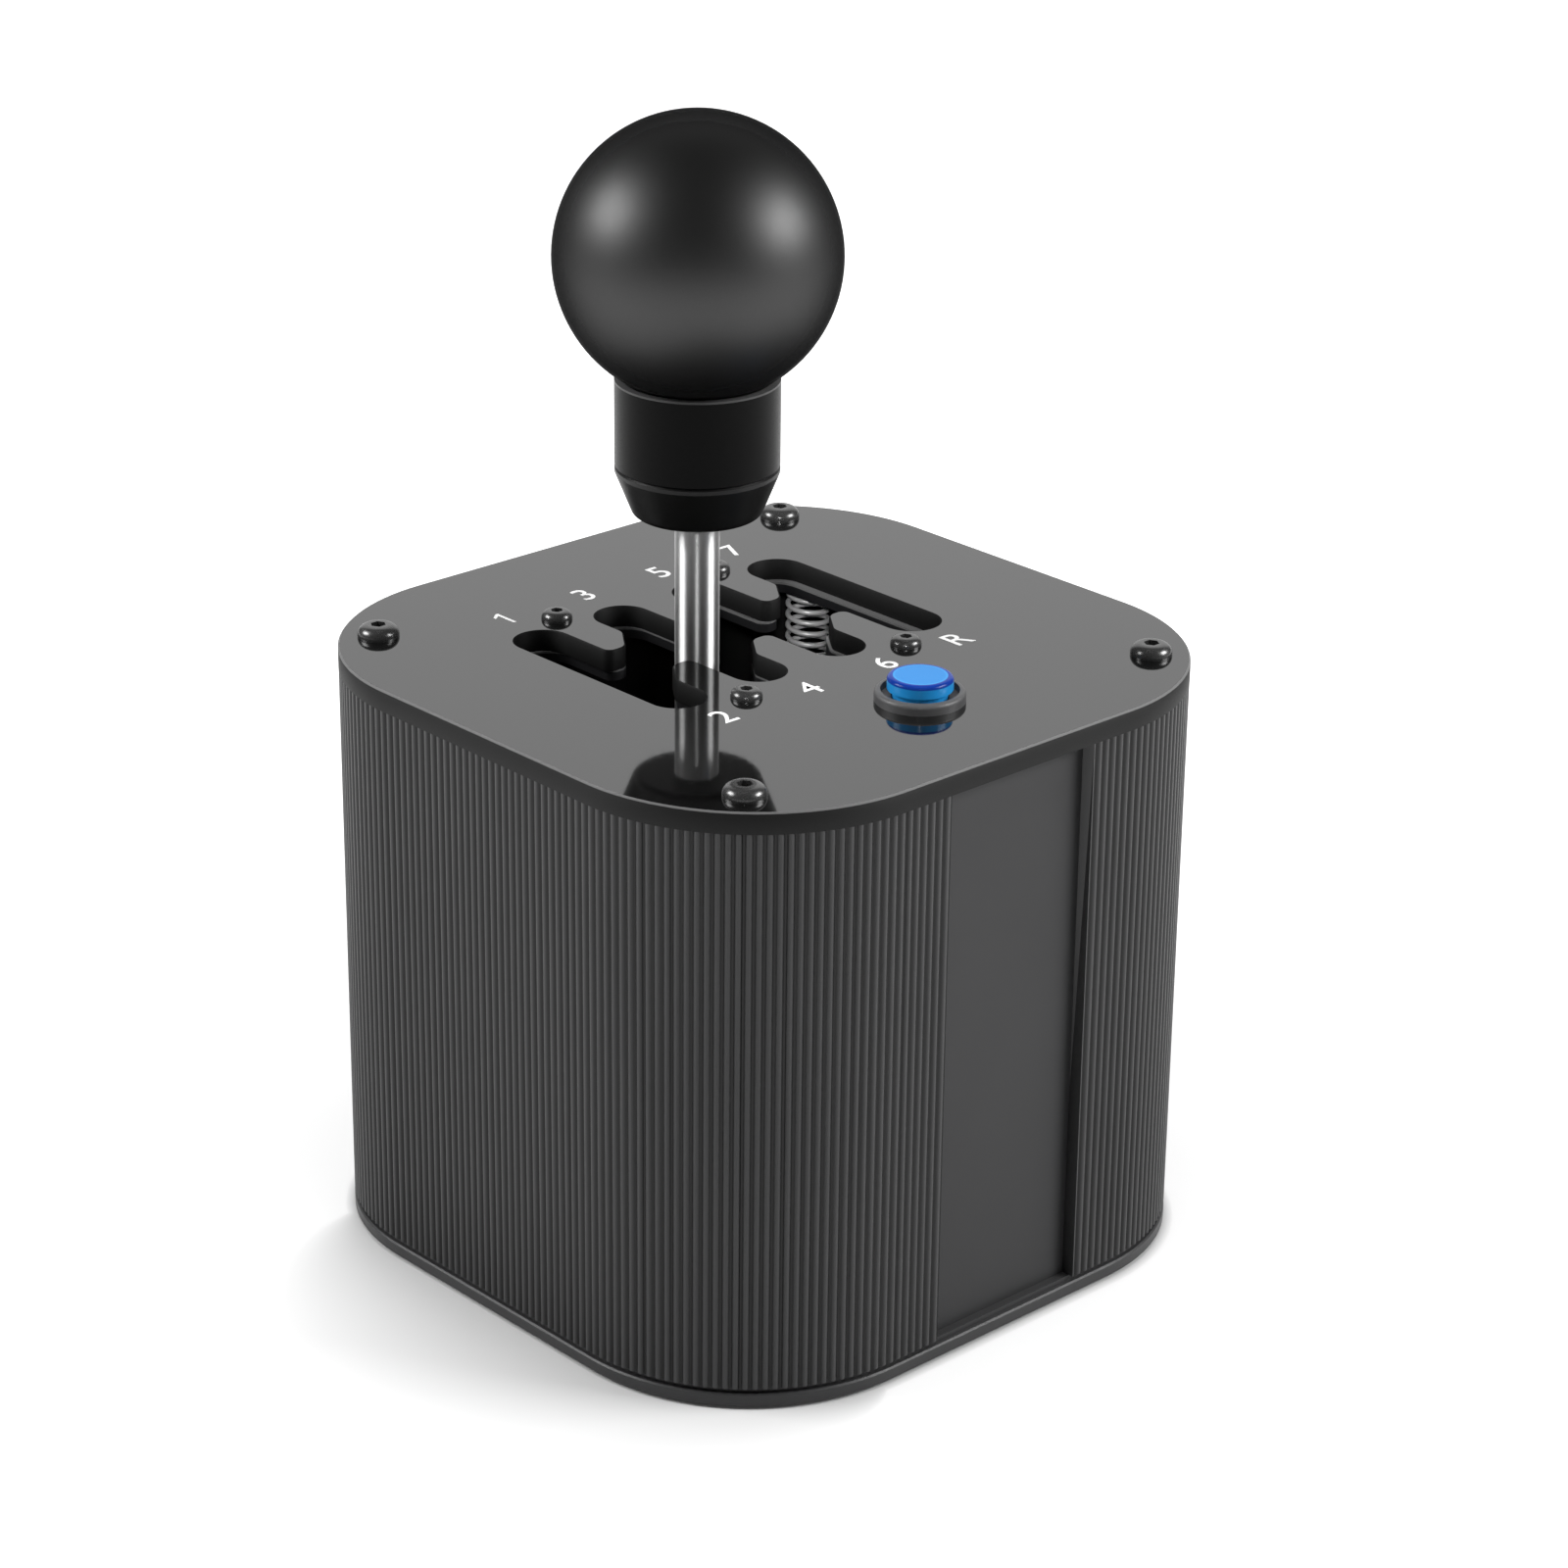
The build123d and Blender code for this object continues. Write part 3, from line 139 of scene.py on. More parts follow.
def mix_colours(tree, share, first, second):
    """A colour between two others, each a plain colour or the output of a node."""
    mix = add_node(tree, "ShaderNodeMix", {0: share}, data_type="RGBA")
    colour_inputs = [socket for socket in mix.inputs if socket.type == "RGBA"]
    for socket, colour in zip(colour_inputs, (first, second)):
        if isinstance(colour, bpy.types.NodeSocket):
            tree.links.new(colour, socket)
        else:
            socket.default_value = (*colour, 1.0)
    return [socket for socket in mix.outputs if socket.type == "RGBA"][0]


def paint(finish, colour):
    """Link a worked-out colour to the finish's shader."""
    finish.node_tree.links.new(colour, finish.node_tree.nodes["Principled BSDF"].inputs["Base Color"])


def add_tint(finish, colours, patch):
    """Slow colour variation between two shades, in patches of the given size."""
    tree = finish.node_tree
    place = add_node(tree, "ShaderNodeTexCoord")
    noise = add_node(tree, "ShaderNodeTexNoise", {
        "Vector": place.outputs["Object"], "Scale": 1 / patch, "Detail": tint_detail,
    })
    tinted = mix_colours(tree, noise.outputs["Fac"], *colours)
    paint(finish, tinted)
    return tinted


def dress(names, finish):
    """Give CAD nodes a finish in place of the plain one that they came with."""
    for name in names:
        piece = nodes[name]
        if not piece.material_slots:
            piece.data.materials.append(finish)
        for place in piece.material_slots:
            place.material = finish


grain_detail = 4.0
grain_harshness = 0.6
noise_low_share = 0.3
noise_high_share = 0.7
tint_detail = 2.0
base_colour = (0.034, 0.034, 0.035)
base_light_colour = (0.044, 0.044, 0.045)
base_patch = 30 * mm
base_grain = {"size": 0.25 * mm, "depth": 0.012 * mm, "rough": (0.36, 0.5)}
base_gloss_level = 0.3
base_finish = new_finish("base_coat", base_colour, base_grain, sockets={
    "Specular IOR Level": base_gloss_level,
})
add_tint(base_finish, (base_colour, base_light_colour), base_patch)
dress(["base_plate"], base_finish)

# Brass pieces, all turned from bar: the four flanged mounting inserts, pressed into the base plate,
# the knob's insert, which the knob is moulded over, and the posts that the boards are screwed to.
brass_colour = (0.60, 0.42, 0.16)
brass_grain = {"size": 0.2 * mm, "depth": 0.01 * mm, "rough": (0.22, 0.4), "stretch": (4, 4, 1)}
brass_finish = new_finish("turned_brass", brass_colour, brass_grain, metallic=1.0)
dress(["mount_inserts", "board_standoffs", "select_spacers", "shift_spacers", "knob_insert"], brass_finish)

# Screws: cold headed steel under a black oxide coat, with hexagon sockets. The eight on the top
# plate have button heads that show, and those in the base are countersunk from below.
oxide_colour = (0.028, 0.028, 0.028)
oxide_grain = {"size": 0.3 * mm, "depth": 0.002 * mm, "rough": (0.22, 0.32)}
oxide_gloss_level = 1.0
oxide_finish = new_finish("black_oxide", oxide_colour, oxide_grain, sockets={
    "Specular IOR Level": oxide_gloss_level,
})
dress(["base_screws", "corner_screws", "gate_screws", "bracket_screws", "bar_screws"], oxide_finish)

# Feet: four discs of soft black rubber under the corners of the base plate.
# They are moulded, and each is pressed into a shallow round seat.
rubber_colour = (0.022, 0.022, 0.022)
rubber_grain = {"size": 0.4 * mm, "depth": 0.05 * mm, "rough": (0.75, 0.95)}
rubber_finish = new_finish("soft_rubber", rubber_colour, rubber_grain)
dress(["feet"], rubber_finish)

# Housing: an extruded aluminium tube with round corners, anodised dark, with fine upright ribs
# all round. The ribs are cut into the plain tube of the frame, so its recesses and posts stay.
rib_pitch = 1.75 * mm
rib_depth = 0.5 * mm
rib_share = 0.7
tip_sink = 0.02 * mm
cut_overrun = 1.0 * mm
housing_corner = 37.6 * mm
points_per_rib = 10
corner_steps = 96
weld_distance = 0.001 * mm
crease_angle = math.radians(40)

housing_low, housing_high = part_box("housing")
housing_side = housing_high.x - housing_low.x
housing_round = 4 * (housing_side - 2 * housing_corner) + 2 * math.pi * housing_corner
rib_count = round(housing_round / rib_pitch)


def new_shape_tree(name, sockets):
    """An empty geometry tree with named inputs, and the input node that they come from."""
    tree = bpy.data.node_groups.new(name, "GeometryNodeTree")
    tree.interface.new_socket("Geometry", in_out="INPUT", socket_type="NodeSocketGeometry")
    for label, kind in sockets.items():
        tree.interface.new_socket(label, in_out="INPUT", socket_type=f"NodeSocket{kind}")
    tree.interface.new_socket("Geometry", in_out="OUTPUT", socket_type="NodeSocketGeometry")
    return tree, tree.nodes.new("NodeGroupInput").outputs


def end_shape_tree(tree, geometry, finish):
    """Close a geometry tree: instances made real and the finish set."""
    real = add_node(tree, "GeometryNodeRealizeInstances", {"Geometry": geometry})
    dressed = add_node(tree, "GeometryNodeSetMaterial", {
        "Geometry": real.outputs["Geometry"], "Material": finish,
    })
    add_node(tree, "NodeGroupOutput", {"Geometry": dressed.outputs["Geometry"]})


def figure(tree, operation, *values):
    """One step of arithmetic in a tree."""
    return add_node(tree, "ShaderNodeMath", dict(enumerate(values)), operation=operation).outputs[0]


def run_shape_tree(name, start, tree, values):
    """Run a tree on a mesh with its inputs set by name, and keep the plain mesh that comes out."""
    piece = place_new(name, start)
    modifier = piece.modifiers.new(name, "NODES")
    modifier.node_group = tree
    for item in tree.interface.items_tree:
        if item.in_out == "INPUT" and item.name in values:
            modifier[item.identifier] = values[item.name]
    evaluated = piece.evaluated_get(bpy.context.evaluated_depsgraph_get())
    made = bpy.data.meshes.new_from_object(evaluated)
    piece.modifiers.remove(modifier)
    piece.data = made
    return piece


def smooth(piece, angle=crease_angle):
    """Smooth shading that keeps the edges sharper than an angle."""
    piece.data.shade_smooth()
    piece.data.set_sharp_from_angle(angle=angle)


def welded_copy(name):
    """A copy of a CAD node's mesh with its loose triangles joined."""
    copy = nodes[name].data.copy()
    work = bmesh.new()
    work.from_mesh(copy)
    bmesh.ops.remove_doubles(work, verts=work.verts, dist=weld_distance)
    work.to_mesh(copy)
    work.free()
    return copy


def rounded_outline(tree, side, corner):
    """A square outline with round corners."""
    square = add_node(tree, "GeometryNodeCurvePrimitiveQuadrilateral", {"Width": side, "Height": side})
    return add_node(tree, "GeometryNodeFilletCurve", {
        "Curve": square.outputs["Curve"], "Count": corner_steps, "Radius": corner,
    }, mode="POLY").outputs["Curve"]


rib_tree, rib_input = new_shape_tree("rib_cutter", {
    "Side": "Float", "Corner": "Float", "Rib Count": "Int", "Points per Rib": "Int", "Rib Depth": "Float",
    "Rib Share": "Float", "Tip Sink": "Float", "Low": "Float", "Height": "Float", "Overrun": "Float",
    "Finish": "Material",
})
outline = rounded_outline(rib_tree, rib_input["Side"], rib_input["Corner"])
ribbed = add_node(rib_tree, "GeometryNodeResampleCurve", {
    "Curve": outline,
    "Count": figure(rib_tree, "MULTIPLY", rib_input["Rib Count"], rib_input["Points per Rib"]),
}, mode="COUNT")
point = add_node(rib_tree, "GeometryNodeInputIndex").outputs["Index"]
along = figure(rib_tree, "FRACT", figure(rib_tree, "DIVIDE", point, rib_input["Points per Rib"]))
from_middle = figure(rib_tree, "ABSOLUTE", figure(rib_tree, "SUBTRACT", along, 0.5))
half_rib = figure(rib_tree, "MULTIPLY", rib_input["Rib Share"], 0.5)
across = figure(rib_tree, "MINIMUM", figure(rib_tree, "DIVIDE", from_middle, half_rib), 1.0)
across_squared = figure(rib_tree, "MULTIPLY", across, across)
crown = figure(rib_tree, "SQRT", figure(rib_tree, "SUBTRACT", 1.0, across_squared))
sunk = figure(rib_tree, "MULTIPLY", figure(rib_tree, "SUBTRACT", 1.0, crown), rib_input["Rib Depth"])
inward = figure(rib_tree, "MULTIPLY", figure(rib_tree, "ADD", sunk, rib_input["Tip Sink"]), -1.0)
tangent = add_node(rib_tree, "GeometryNodeInputTangent").outputs["Tangent"]
sideways = add_node(rib_tree, "ShaderNodeVectorMath", {
    0: tangent, 1: (0, 0, 1),
}, operation="CROSS_PRODUCT")
here = add_node(rib_tree, "GeometryNodeInputPosition").outputs["Position"]
facing = add_node(rib_tree, "ShaderNodeVectorMath", {
    0: sideways.outputs[0], 1: here,
}, operation="DOT_PRODUCT")
side_sign = figure(rib_tree, "SIGN", facing.outputs["Value"])
shift = add_node(rib_tree, "ShaderNodeVectorMath", {
    0: sideways.outputs[0], "Scale": figure(rib_tree, "MULTIPLY", inward, side_sign),
}, operation="SCALE")
ribbed = add_node(rib_tree, "GeometryNodeSetPosition", {
    "Geometry": ribbed.outputs["Curve"], "Offset": shift.outputs[0],
})
outer_side = figure(rib_tree, "MULTIPLY_ADD", rib_input["Overrun"], 2.0, rib_input["Side"])
outer_corner = figure(rib_tree, "ADD", rib_input["Corner"], rib_input["Overrun"])
outer = rounded_outline(rib_tree, outer_side, outer_corner)
both = add_node(rib_tree, "GeometryNodeJoinGeometry", {"Geometry": ribbed.outputs["Geometry"]})
rib_tree.links.new(outer, both.inputs["Geometry"])
ring = add_node(rib_tree, "GeometryNodeFillCurve", {"Curve": both.outputs["Geometry"]}, mode="TRIANGLES")
ring_height = figure(rib_tree, "MULTIPLY_ADD", rib_input["Overrun"], 2.0, rib_input["Height"])
raised = add_node(rib_tree, "GeometryNodeExtrudeMesh", {
    "Mesh": ring.outputs["Mesh"], "Offset": (0, 0, 1), "Offset Scale": ring_height, "Individual": False,
}, mode="FACES")
floor_faces = add_node(rib_tree, "GeometryNodeFlipFaces", {"Mesh": ring.outputs["Mesh"]})
closed = add_node(rib_tree, "GeometryNodeJoinGeometry", {"Geometry": raised.outputs["Mesh"]})
rib_tree.links.new(floor_faces.outputs["Mesh"], closed.inputs["Geometry"])
merged = add_node(rib_tree, "GeometryNodeMergeByDistance", {
    "Geometry": closed.outputs["Geometry"], "Distance": weld_distance,
})
ring_low = figure(rib_tree, "SUBTRACT", rib_input["Low"], rib_input["Overrun"])
ring_place = add_node(rib_tree, "ShaderNodeCombineXYZ", {"Z": ring_low})
cutter = add_node(rib_tree, "GeometryNodeTransform", {
    "Geometry": merged.outputs["Geometry"], "Translation": ring_place.outputs["Vector"],
})
cut = add_node(rib_tree, "GeometryNodeMeshBoolean", {
    "Mesh 1": rib_input["Geometry"], "Mesh 2": cutter.outputs["Geometry"],
}, operation="DIFFERENCE", solver="MANIFOLD")
end_shape_tree(rib_tree, cut.outputs["Mesh"], rib_input["Finish"])

housing_colour = (0.044, 0.044, 0.045)
housing_light_colour = (0.060, 0.060, 0.061)
painted_groove_shade_colour = (0.006, 0.006, 0.006)
housing_patch = 25 * mm
housing_grain = {"size": 0.12 * mm, "depth": 0.006 * mm, "rough": (0.34, 0.46), "stretch": (1, 1, 8)}
housing_gloss_level = 0.3
housing_finish = new_finish("anodised_ribs", housing_colour, housing_grain, sockets={
    "Specular IOR Level": housing_gloss_level,
})
housing_tree = housing_finish.node_tree
rib_colour = add_tint(housing_finish, (housing_colour, housing_light_colour), housing_patch)
# Painted shade: the ribs' colour darkens toward the floor of each groove.
groove_shade_share = add_node(housing_tree, "ShaderNodeAttribute", attribute_name="groove").outputs["Fac"]
paint(housing_finish, mix_colours(housing_tree, groove_shade_share, rib_colour, painted_groove_shade_colour))
fluted_housing = run_shape_tree("fluted_housing", welded_copy("housing"), rib_tree, {
    "Side": housing_side, "Corner": housing_corner, "Rib Count": rib_count,
    "Points per Rib": points_per_rib, "Rib Depth": rib_depth, "Rib Share": rib_share,
    "Tip Sink": tip_sink, "Low": housing_low.z, "Height": housing_high.z - housing_low.z,
    "Overrun": cut_overrun, "Finish": housing_finish,
})
smooth(fluted_housing)


def wall_depth(place):
    """How far a point lies inside the plain outer wall of the housing."""
    straight = housing_side / 2 - housing_corner
    out_x = abs(place.x) - straight
    out_y = abs(place.y) - straight
    from_round = math.hypot(max(out_x, 0), max(out_y, 0)) + min(max(out_x, out_y), 0)
    return housing_corner - from_round


# Each point's depth in a groove, as a share of the rib depth, drives the painted groove shade.
groove_shade_depths = fluted_housing.data.attributes.new("groove", "FLOAT", "POINT")
for vertex, depth_here in zip(fluted_housing.data.vertices, groove_shade_depths.data):
    depth_here.value = min(wall_depth(vertex.co) / rib_depth, 1.0)
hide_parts("housing")
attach(fluted_housing, "housing")

# Strips: two smooth dark aluminium plates, cut from sheet and anodised like the housing.
# Each lines one of its upright recesses, and lies in a shallow step behind the mouth.
strip_colour = (0.028, 0.028, 0.029)
strip_light_colour = (0.034, 0.034, 0.035)
strip_patch = 18 * mm
strip_grain = {"size": 0.16 * mm, "depth": 0.01 * mm, "rough": (0.44, 0.58)}
strip_gloss_level = 0.3
strip_finish = new_finish("satin_strip", strip_colour, strip_grain, sockets={
    "Specular IOR Level": strip_gloss_level,
})
add_tint(strip_finish, (strip_colour, strip_light_colour), strip_patch)
dress(["front_panel", "rear_panel"], strip_finish)

# Mechanism: brackets, yoke and lever foot milled from aluminium, with bronze bushes pressed in.
# Ground steel shafts run in the bushes, and small steel pieces are zinc plated. The magnets, the
# button's pins and the USB socket are nickel plated.
aluminium_colour = (0.09, 0.09, 0.092)
aluminium_grain = {"size": 0.2 * mm, "depth": 0.01 * mm, "rough": (0.3, 0.45), "stretch": (6, 1, 1)}
aluminium_metal_share = 0.6
aluminium_finish = new_finish(
    "machined_aluminium", aluminium_colour, aluminium_grain, metallic=aluminium_metal_share
)
dress(["front_bracket", "rear_bracket", "yoke", "lever_foot"], aluminium_finish)

bronze_colour = (0.36, 0.2, 0.09)
bronze_grain = {"size": 0.15 * mm, "depth": 0.02 * mm, "rough": (0.38, 0.55)}
bronze_finish = new_finish("sintered_bronze", bronze_colour, bronze_grain, metallic=1.0)
dress(["select_bush_front", "select_bush_rear", "cross_bush_left", "cross_bush_right"], bronze_finish)

ground_colour = (0.5, 0.5, 0.5)
ground_grain = {"size": 0.2 * mm, "depth": 0.003 * mm, "rough": (0.16, 0.28), "stretch": (1, 8, 8)}
ground_finish = new_finish("ground_steel", ground_colour, ground_grain, metallic=1.0)
dress(["select_shaft_front", "select_shaft_rear", "cross_shaft", "detent_plunger"], ground_finish)

zinc_colour = (0.38, 0.39, 0.4)
zinc_warm_colour = (0.48, 0.47, 0.44)
zinc_patch = 3 * mm
zinc_grain = {"size": 0.3 * mm, "depth": 0.006 * mm, "rough": (0.26, 0.42)}
zinc_finish = new_finish("zinc_plating", zinc_colour, zinc_grain, metallic=1.0)
add_tint(zinc_finish, (zinc_colour, zinc_warm_colour), zinc_patch)
dress(["spring_bar", "detent_sleeve", "lever_lock_nut", "button_nut", "board_screws"], zinc_finish)

nickel_colour = (0.6, 0.58, 0.54)
nickel_grain = {"size": 0.4 * mm, "depth": 0.003 * mm, "rough": (0.1, 0.2)}
nickel_finish = new_finish("nickel_plating", nickel_colour, nickel_grain, metallic=1.0)
dress(["select_magnet", "shift_magnet", "button_pins", "usb_socket"], nickel_finish)

# Circuit boards: glass fibre under a green solder mask, with fine copper tracks that show through.
# The controller board is screwed to brass standoffs, and the two sensor boards to spacers.
mask_colour = (0.008, 0.075, 0.03)
mask_light_colour = (0.012, 0.1, 0.04)
track_colour = (0.03, 0.2, 0.07)
track_pitch = 4 * mm
track_width_share = 0.06
track_blur_share = 0.2
board_grain = {"size": 0.5 * mm, "depth": 0.01 * mm, "rough": (0.24, 0.36)}
board_finish = new_finish("solder_mask", mask_colour, board_grain)
board_place = add_node(board_finish.node_tree, "ShaderNodeTexCoord")
track_tiles = add_node(board_finish.node_tree, "ShaderNodeTexBrick", {
    "Vector": board_place.outputs["Object"], "Scale": 1 / track_pitch, "Mortar Size": track_width_share,
    "Mortar Smooth": track_blur_share, "Color1": (*mask_colour, 1), "Color2": (*mask_light_colour, 1),
    "Mortar": (*track_colour, 1),
})
paint(board_finish, track_tiles.outputs["Color"])
dress(["select_sensor_board", "shift_sensor_board", "controller_board"], board_finish)

# Springs: bright steel wire wound to the left, its last turns closed down on each other.
# Two centre the yoke from below the gate plate, one lifts the cap and one pushes the plunger.
wire_colour = (0.9, 0.9, 0.9)
wire_grain = {"size": 0.3 * mm, "depth": 0.002 * mm, "rough": (0.3, 0.42)}
wire_metal_share = 0.3
spring_finish = new_finish("bright_wire", wire_colour, wire_grain, metallic=wire_metal_share)
steps_per_turn = 28
wire_sides = 10
closed_turns = 2

coil_tree, coil_input = new_shape_tree("wound_wire", {
    "Turns": "Float", "Steps": "Int", "Mean Radius": "Float", "Wire Radius": "Float", "Pitch": "Float",
    "Sides": "Int", "Finish": "Material",
})
wire_line = add_node(coil_tree, "GeometryNodeCurvePrimitiveLine")
wire_line = add_node(coil_tree, "GeometryNodeResampleCurve", {
    "Curve": wire_line.outputs["Curve"],
    "Count": figure(coil_tree, "ADD", coil_input["Steps"], 1.0),
}, mode="COUNT")
wire_point = add_node(coil_tree, "GeometryNodeInputIndex").outputs["Index"]
wire_share = figure(coil_tree, "DIVIDE", wire_point, coil_input["Steps"])
turn_here = figure(coil_tree, "MULTIPLY", wire_share, coil_input["Turns"])
wire_width = figure(coil_tree, "MULTIPLY", coil_input["Wire Radius"], 2.0)
first_closed = figure(coil_tree, "MINIMUM", turn_here, 1.0)
last_turn = figure(coil_tree, "SUBTRACT", coil_input["Turns"], 1.0)
last_closed = figure(coil_tree, "MAXIMUM", figure(coil_tree, "SUBTRACT", turn_here, last_turn), 0.0)
closed_here = figure(coil_tree, "ADD", first_closed, last_closed)
open_turns = figure(coil_tree, "SUBTRACT", turn_here, closed_here)
closed_rise = figure(coil_tree, "MULTIPLY", closed_here, wire_width)
wire_rise = figure(coil_tree, "MULTIPLY_ADD", open_turns, coil_input["Pitch"], closed_rise)
wire_rise = figure(coil_tree, "ADD", wire_rise, coil_input["Wire Radius"])
wire_angle = figure(coil_tree, "MULTIPLY", turn_here, -2 * math.pi)
wire_place = add_node(coil_tree, "ShaderNodeCombineXYZ", {
    "X": figure(coil_tree, "MULTIPLY", coil_input["Mean Radius"], figure(coil_tree, "COSINE", wire_angle)),
    "Y": figure(coil_tree, "MULTIPLY", coil_input["Mean Radius"], figure(coil_tree, "SINE", wire_angle)),
    "Z": wire_rise,
})
wound = add_node(coil_tree, "GeometryNodeSetPosition", {
    "Geometry": wire_line.outputs["Curve"], "Position": wire_place.outputs["Vector"],
})
wire_section = add_node(coil_tree, "GeometryNodeCurvePrimitiveCircle", {
    "Resolution": coil_input["Sides"], "Radius": coil_input["Wire Radius"],
})
wire_tube = add_node(coil_tree, "GeometryNodeCurveToMesh", {
    "Curve": wound.outputs["Geometry"], "Profile Curve": wire_section.outputs["Curve"], "Fill Caps": True,
})
end_shape_tree(coil_tree, wire_tube.outputs["Mesh"], coil_input["Finish"])


def wound_spring(name, foot, axis, length, mean_radius, wire_radius, turns):
    """A left-handed coil from the foot along an axis, closed at both ends."""
    open_length = length - (closed_turns + 1) * 2 * wire_radius
    spring = run_shape_tree(name, bpy.data.meshes.new(name), coil_tree, {
        "Turns": float(turns), "Steps": steps_per_turn * turns, "Mean Radius": mean_radius,
        "Wire Radius": wire_radius, "Pitch": open_length / (turns - closed_turns), "Sides": wire_sides,
        "Finish": spring_finish,
    })
    turn = Vector((0, 0, 1)).rotation_difference(Vector(axis)).to_matrix().to_4x4()
    spring.data.transform(Matrix.Translation(foot) @ turn)
    smooth(spring)
    return spring


centring_radius = 3.9 * mm
centring_wire = 0.5 * mm
centring_turns = 31
for label in ("left", "right"):
    low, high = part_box("spring_" + label)
    foot = Vector(((low.x + high.x) / 2, (low.y + high.y) / 2, low.z))
    spring = wound_spring(
        "centring_spring_" + label, foot, (0, 0, 1), high.z - low.z,
        centring_radius, centring_wire, centring_turns,
    )
    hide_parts("spring_" + label)
    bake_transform(spring)

return_radius = 3.4 * mm
return_wire = 0.4 * mm
return_turns = 6
low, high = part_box("button_spring")
foot = Vector(((low.x + high.x) / 2, (low.y + high.y) / 2, low.z))
return_spring = wound_spring(
    "cap_return_spring", foot, (0, 0, 1), high.z - low.z, return_radius, return_wire, return_turns
)
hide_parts("button_spring")
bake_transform(return_spring)

click_radius = 1.4 * mm
click_wire = 0.25 * mm
click_turns = 5
low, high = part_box("detent_spring")
foot = Vector(((low.x + high.x) / 2, low.y, (low.z + high.z) / 2))
click_spring = wound_spring(
    "click_spring", foot, (0, 1, 0), high.y - low.y, click_radius, click_wire, click_turns
)
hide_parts("detent_spring")
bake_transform(click_spring)

# Leads: soft black wires, soldered to the sensor and plugged on the button's pins.
# They lie along the inside of the housing to the controller board. The plug is white nylon.
lead_colour = (0.02, 0.02, 0.02)
lead_grain = {"size": 0.5 * mm, "depth": 0.02 * mm, "rough": (0.42, 0.6)}
lead_finish = new_finish("soft_lead", lead_colour, lead_grain)
button_lead_radius = 1.0 * mm
button_lead_route = [
    (2.6, -37.4, 86.0), (2.6, -37.4, 68.0), (15.0, -44.0, 46.0), (32.0, -44.0, 24.0),
    (47.0, -30.0, 12.0), (52.0, -8.0, 8.0), (53.5, 14.0, 8.5), (51.5, 32.0, 12.0),
    (45.0, 41.0, 18.0), (38.5, 45.5, 21.5), (35.0, 46.75, 19.5), (35.0, 46.75, 15.6),
]
sensor_lead_radius = 0.7 * mm
sensor_lead_route = [
    (2.3, 48.0, 24.0), (6.5, 48.0, 24.0), (11.0, 47.2, 21.5), (13.0, 45.8, 17.0), (13.0, 45.8, 11.6),
]


def soft_lead(name, node, route, radius):
    """A round lead along a smooth line through its route, in place of its plain solid."""
    curve = bpy.data.curves.new(name, "CURVE")
    curve.dimensions = "3D"
    curve.bevel_depth = radius
    curve.use_fill_caps = True
    line = curve.splines.new("NURBS")
    line.points.add(len(route) - 1)
    for point, place in zip(line.points, route):
        point.co = (*(Vector(place) * mm), 1.0)
    line.order_u = 3
    line.use_endpoint_u = True
    guide = place_new(name + "_guide", curve)
    mesh = bpy.data.meshes.new_from_object(guide)
    bpy.data.objects.remove(guide)
    mesh.materials.clear()
    mesh.materials.append(lead_finish)
    piece = place_new(name, mesh)
    smooth(piece)
    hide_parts(node)
    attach(piece, "housing")


soft_lead("button_wire", "button_lead", button_lead_route, button_lead_radius)
soft_lead("sensor_wire", "sensor_lead", sensor_lead_route, sensor_lead_radius)

nylon_colour = (0.6, 0.58, 0.52)
nylon_grain = {"size": 0.3 * mm, "depth": 0.01 * mm, "rough": (0.42, 0.58)}
nylon_depth_share = 0.2
nylon_finish = new_finish("natural_nylon", nylon_colour, nylon_grain, sockets={
    "Subsurface Weight": nylon_depth_share,
})
dress(["button_plug"], nylon_finish)

# Gate plate: black coated steel, cut by laser and screwed to the underside of the top plate.
# The lever runs in its slots. The plate's top and the upper edge of its slots are painted lighter, a
# painted highlight.
def object_place(tree, centre=(0, 0, 0)):
    """The three object coordinates of the point, counted from a centre."""
    place = add_node(tree, "ShaderNodeTexCoord")
    moved = add_node(tree, "ShaderNodeMapping", {
        "Vector": place.outputs["Object"], "Location": [-part for part in centre],
    })
    return add_node(tree, "ShaderNodeSeparateXYZ", {"Vector": moved.outputs["Vector"]}).outputs


def rise(tree, value, low, high):
    """Zero below one level, one above another, and a straight ramp between them."""
    ramp = add_node(tree, "ShaderNodeMapRange", {"Value": value, "From Min": low, "From Max": high})
    return ramp.outputs["Result"]


gate_colour = (0.008, 0.008, 0.009)
painted_edge_highlight_colour = (0.12, 0.12, 0.12)
edge_highlight_height = 0.35 * mm
edge_highlight_blur = 0.05 * mm
gate_grain = {"size": 0.3 * mm, "depth": 0.006 * mm, "rough": (0.34, 0.46)}
gate_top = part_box("gate_plate")[1].z
gate_finish = new_finish("gate_coat", gate_colour, gate_grain)
gate_tree = gate_finish.node_tree
gate_level = object_place(gate_tree)["Z"]
edge_highlight_level = gate_top - edge_highlight_height
# Painted highlight: everything within a short height of the plate's top is painted lighter.
edge_highlight = rise(gate_tree, gate_level, edge_highlight_level - edge_highlight_blur, edge_highlight_level)
paint(gate_finish, mix_colours(gate_tree, edge_highlight, gate_colour, painted_edge_highlight_colour))
dress(["gate_plate"], gate_finish)

# Top plate: sheet cut with the gate, its face lacquered mirror-smooth in gloss black and its
# sides left matt, with a painted highlight along the top of the outer sides and painted shade on
# the walls of the slots. Four screws hold it at the corners. White gear numbers are printed on it.
plate_colour = (0.004, 0.004, 0.004)
plate_side_colour = (0.009, 0.009, 0.009)
painted_rim_highlight_colour = (0.16, 0.16, 0.16)
rim_highlight_height = 0.3 * mm
plate_skin = 0.02 * mm
flat_share = 0.99
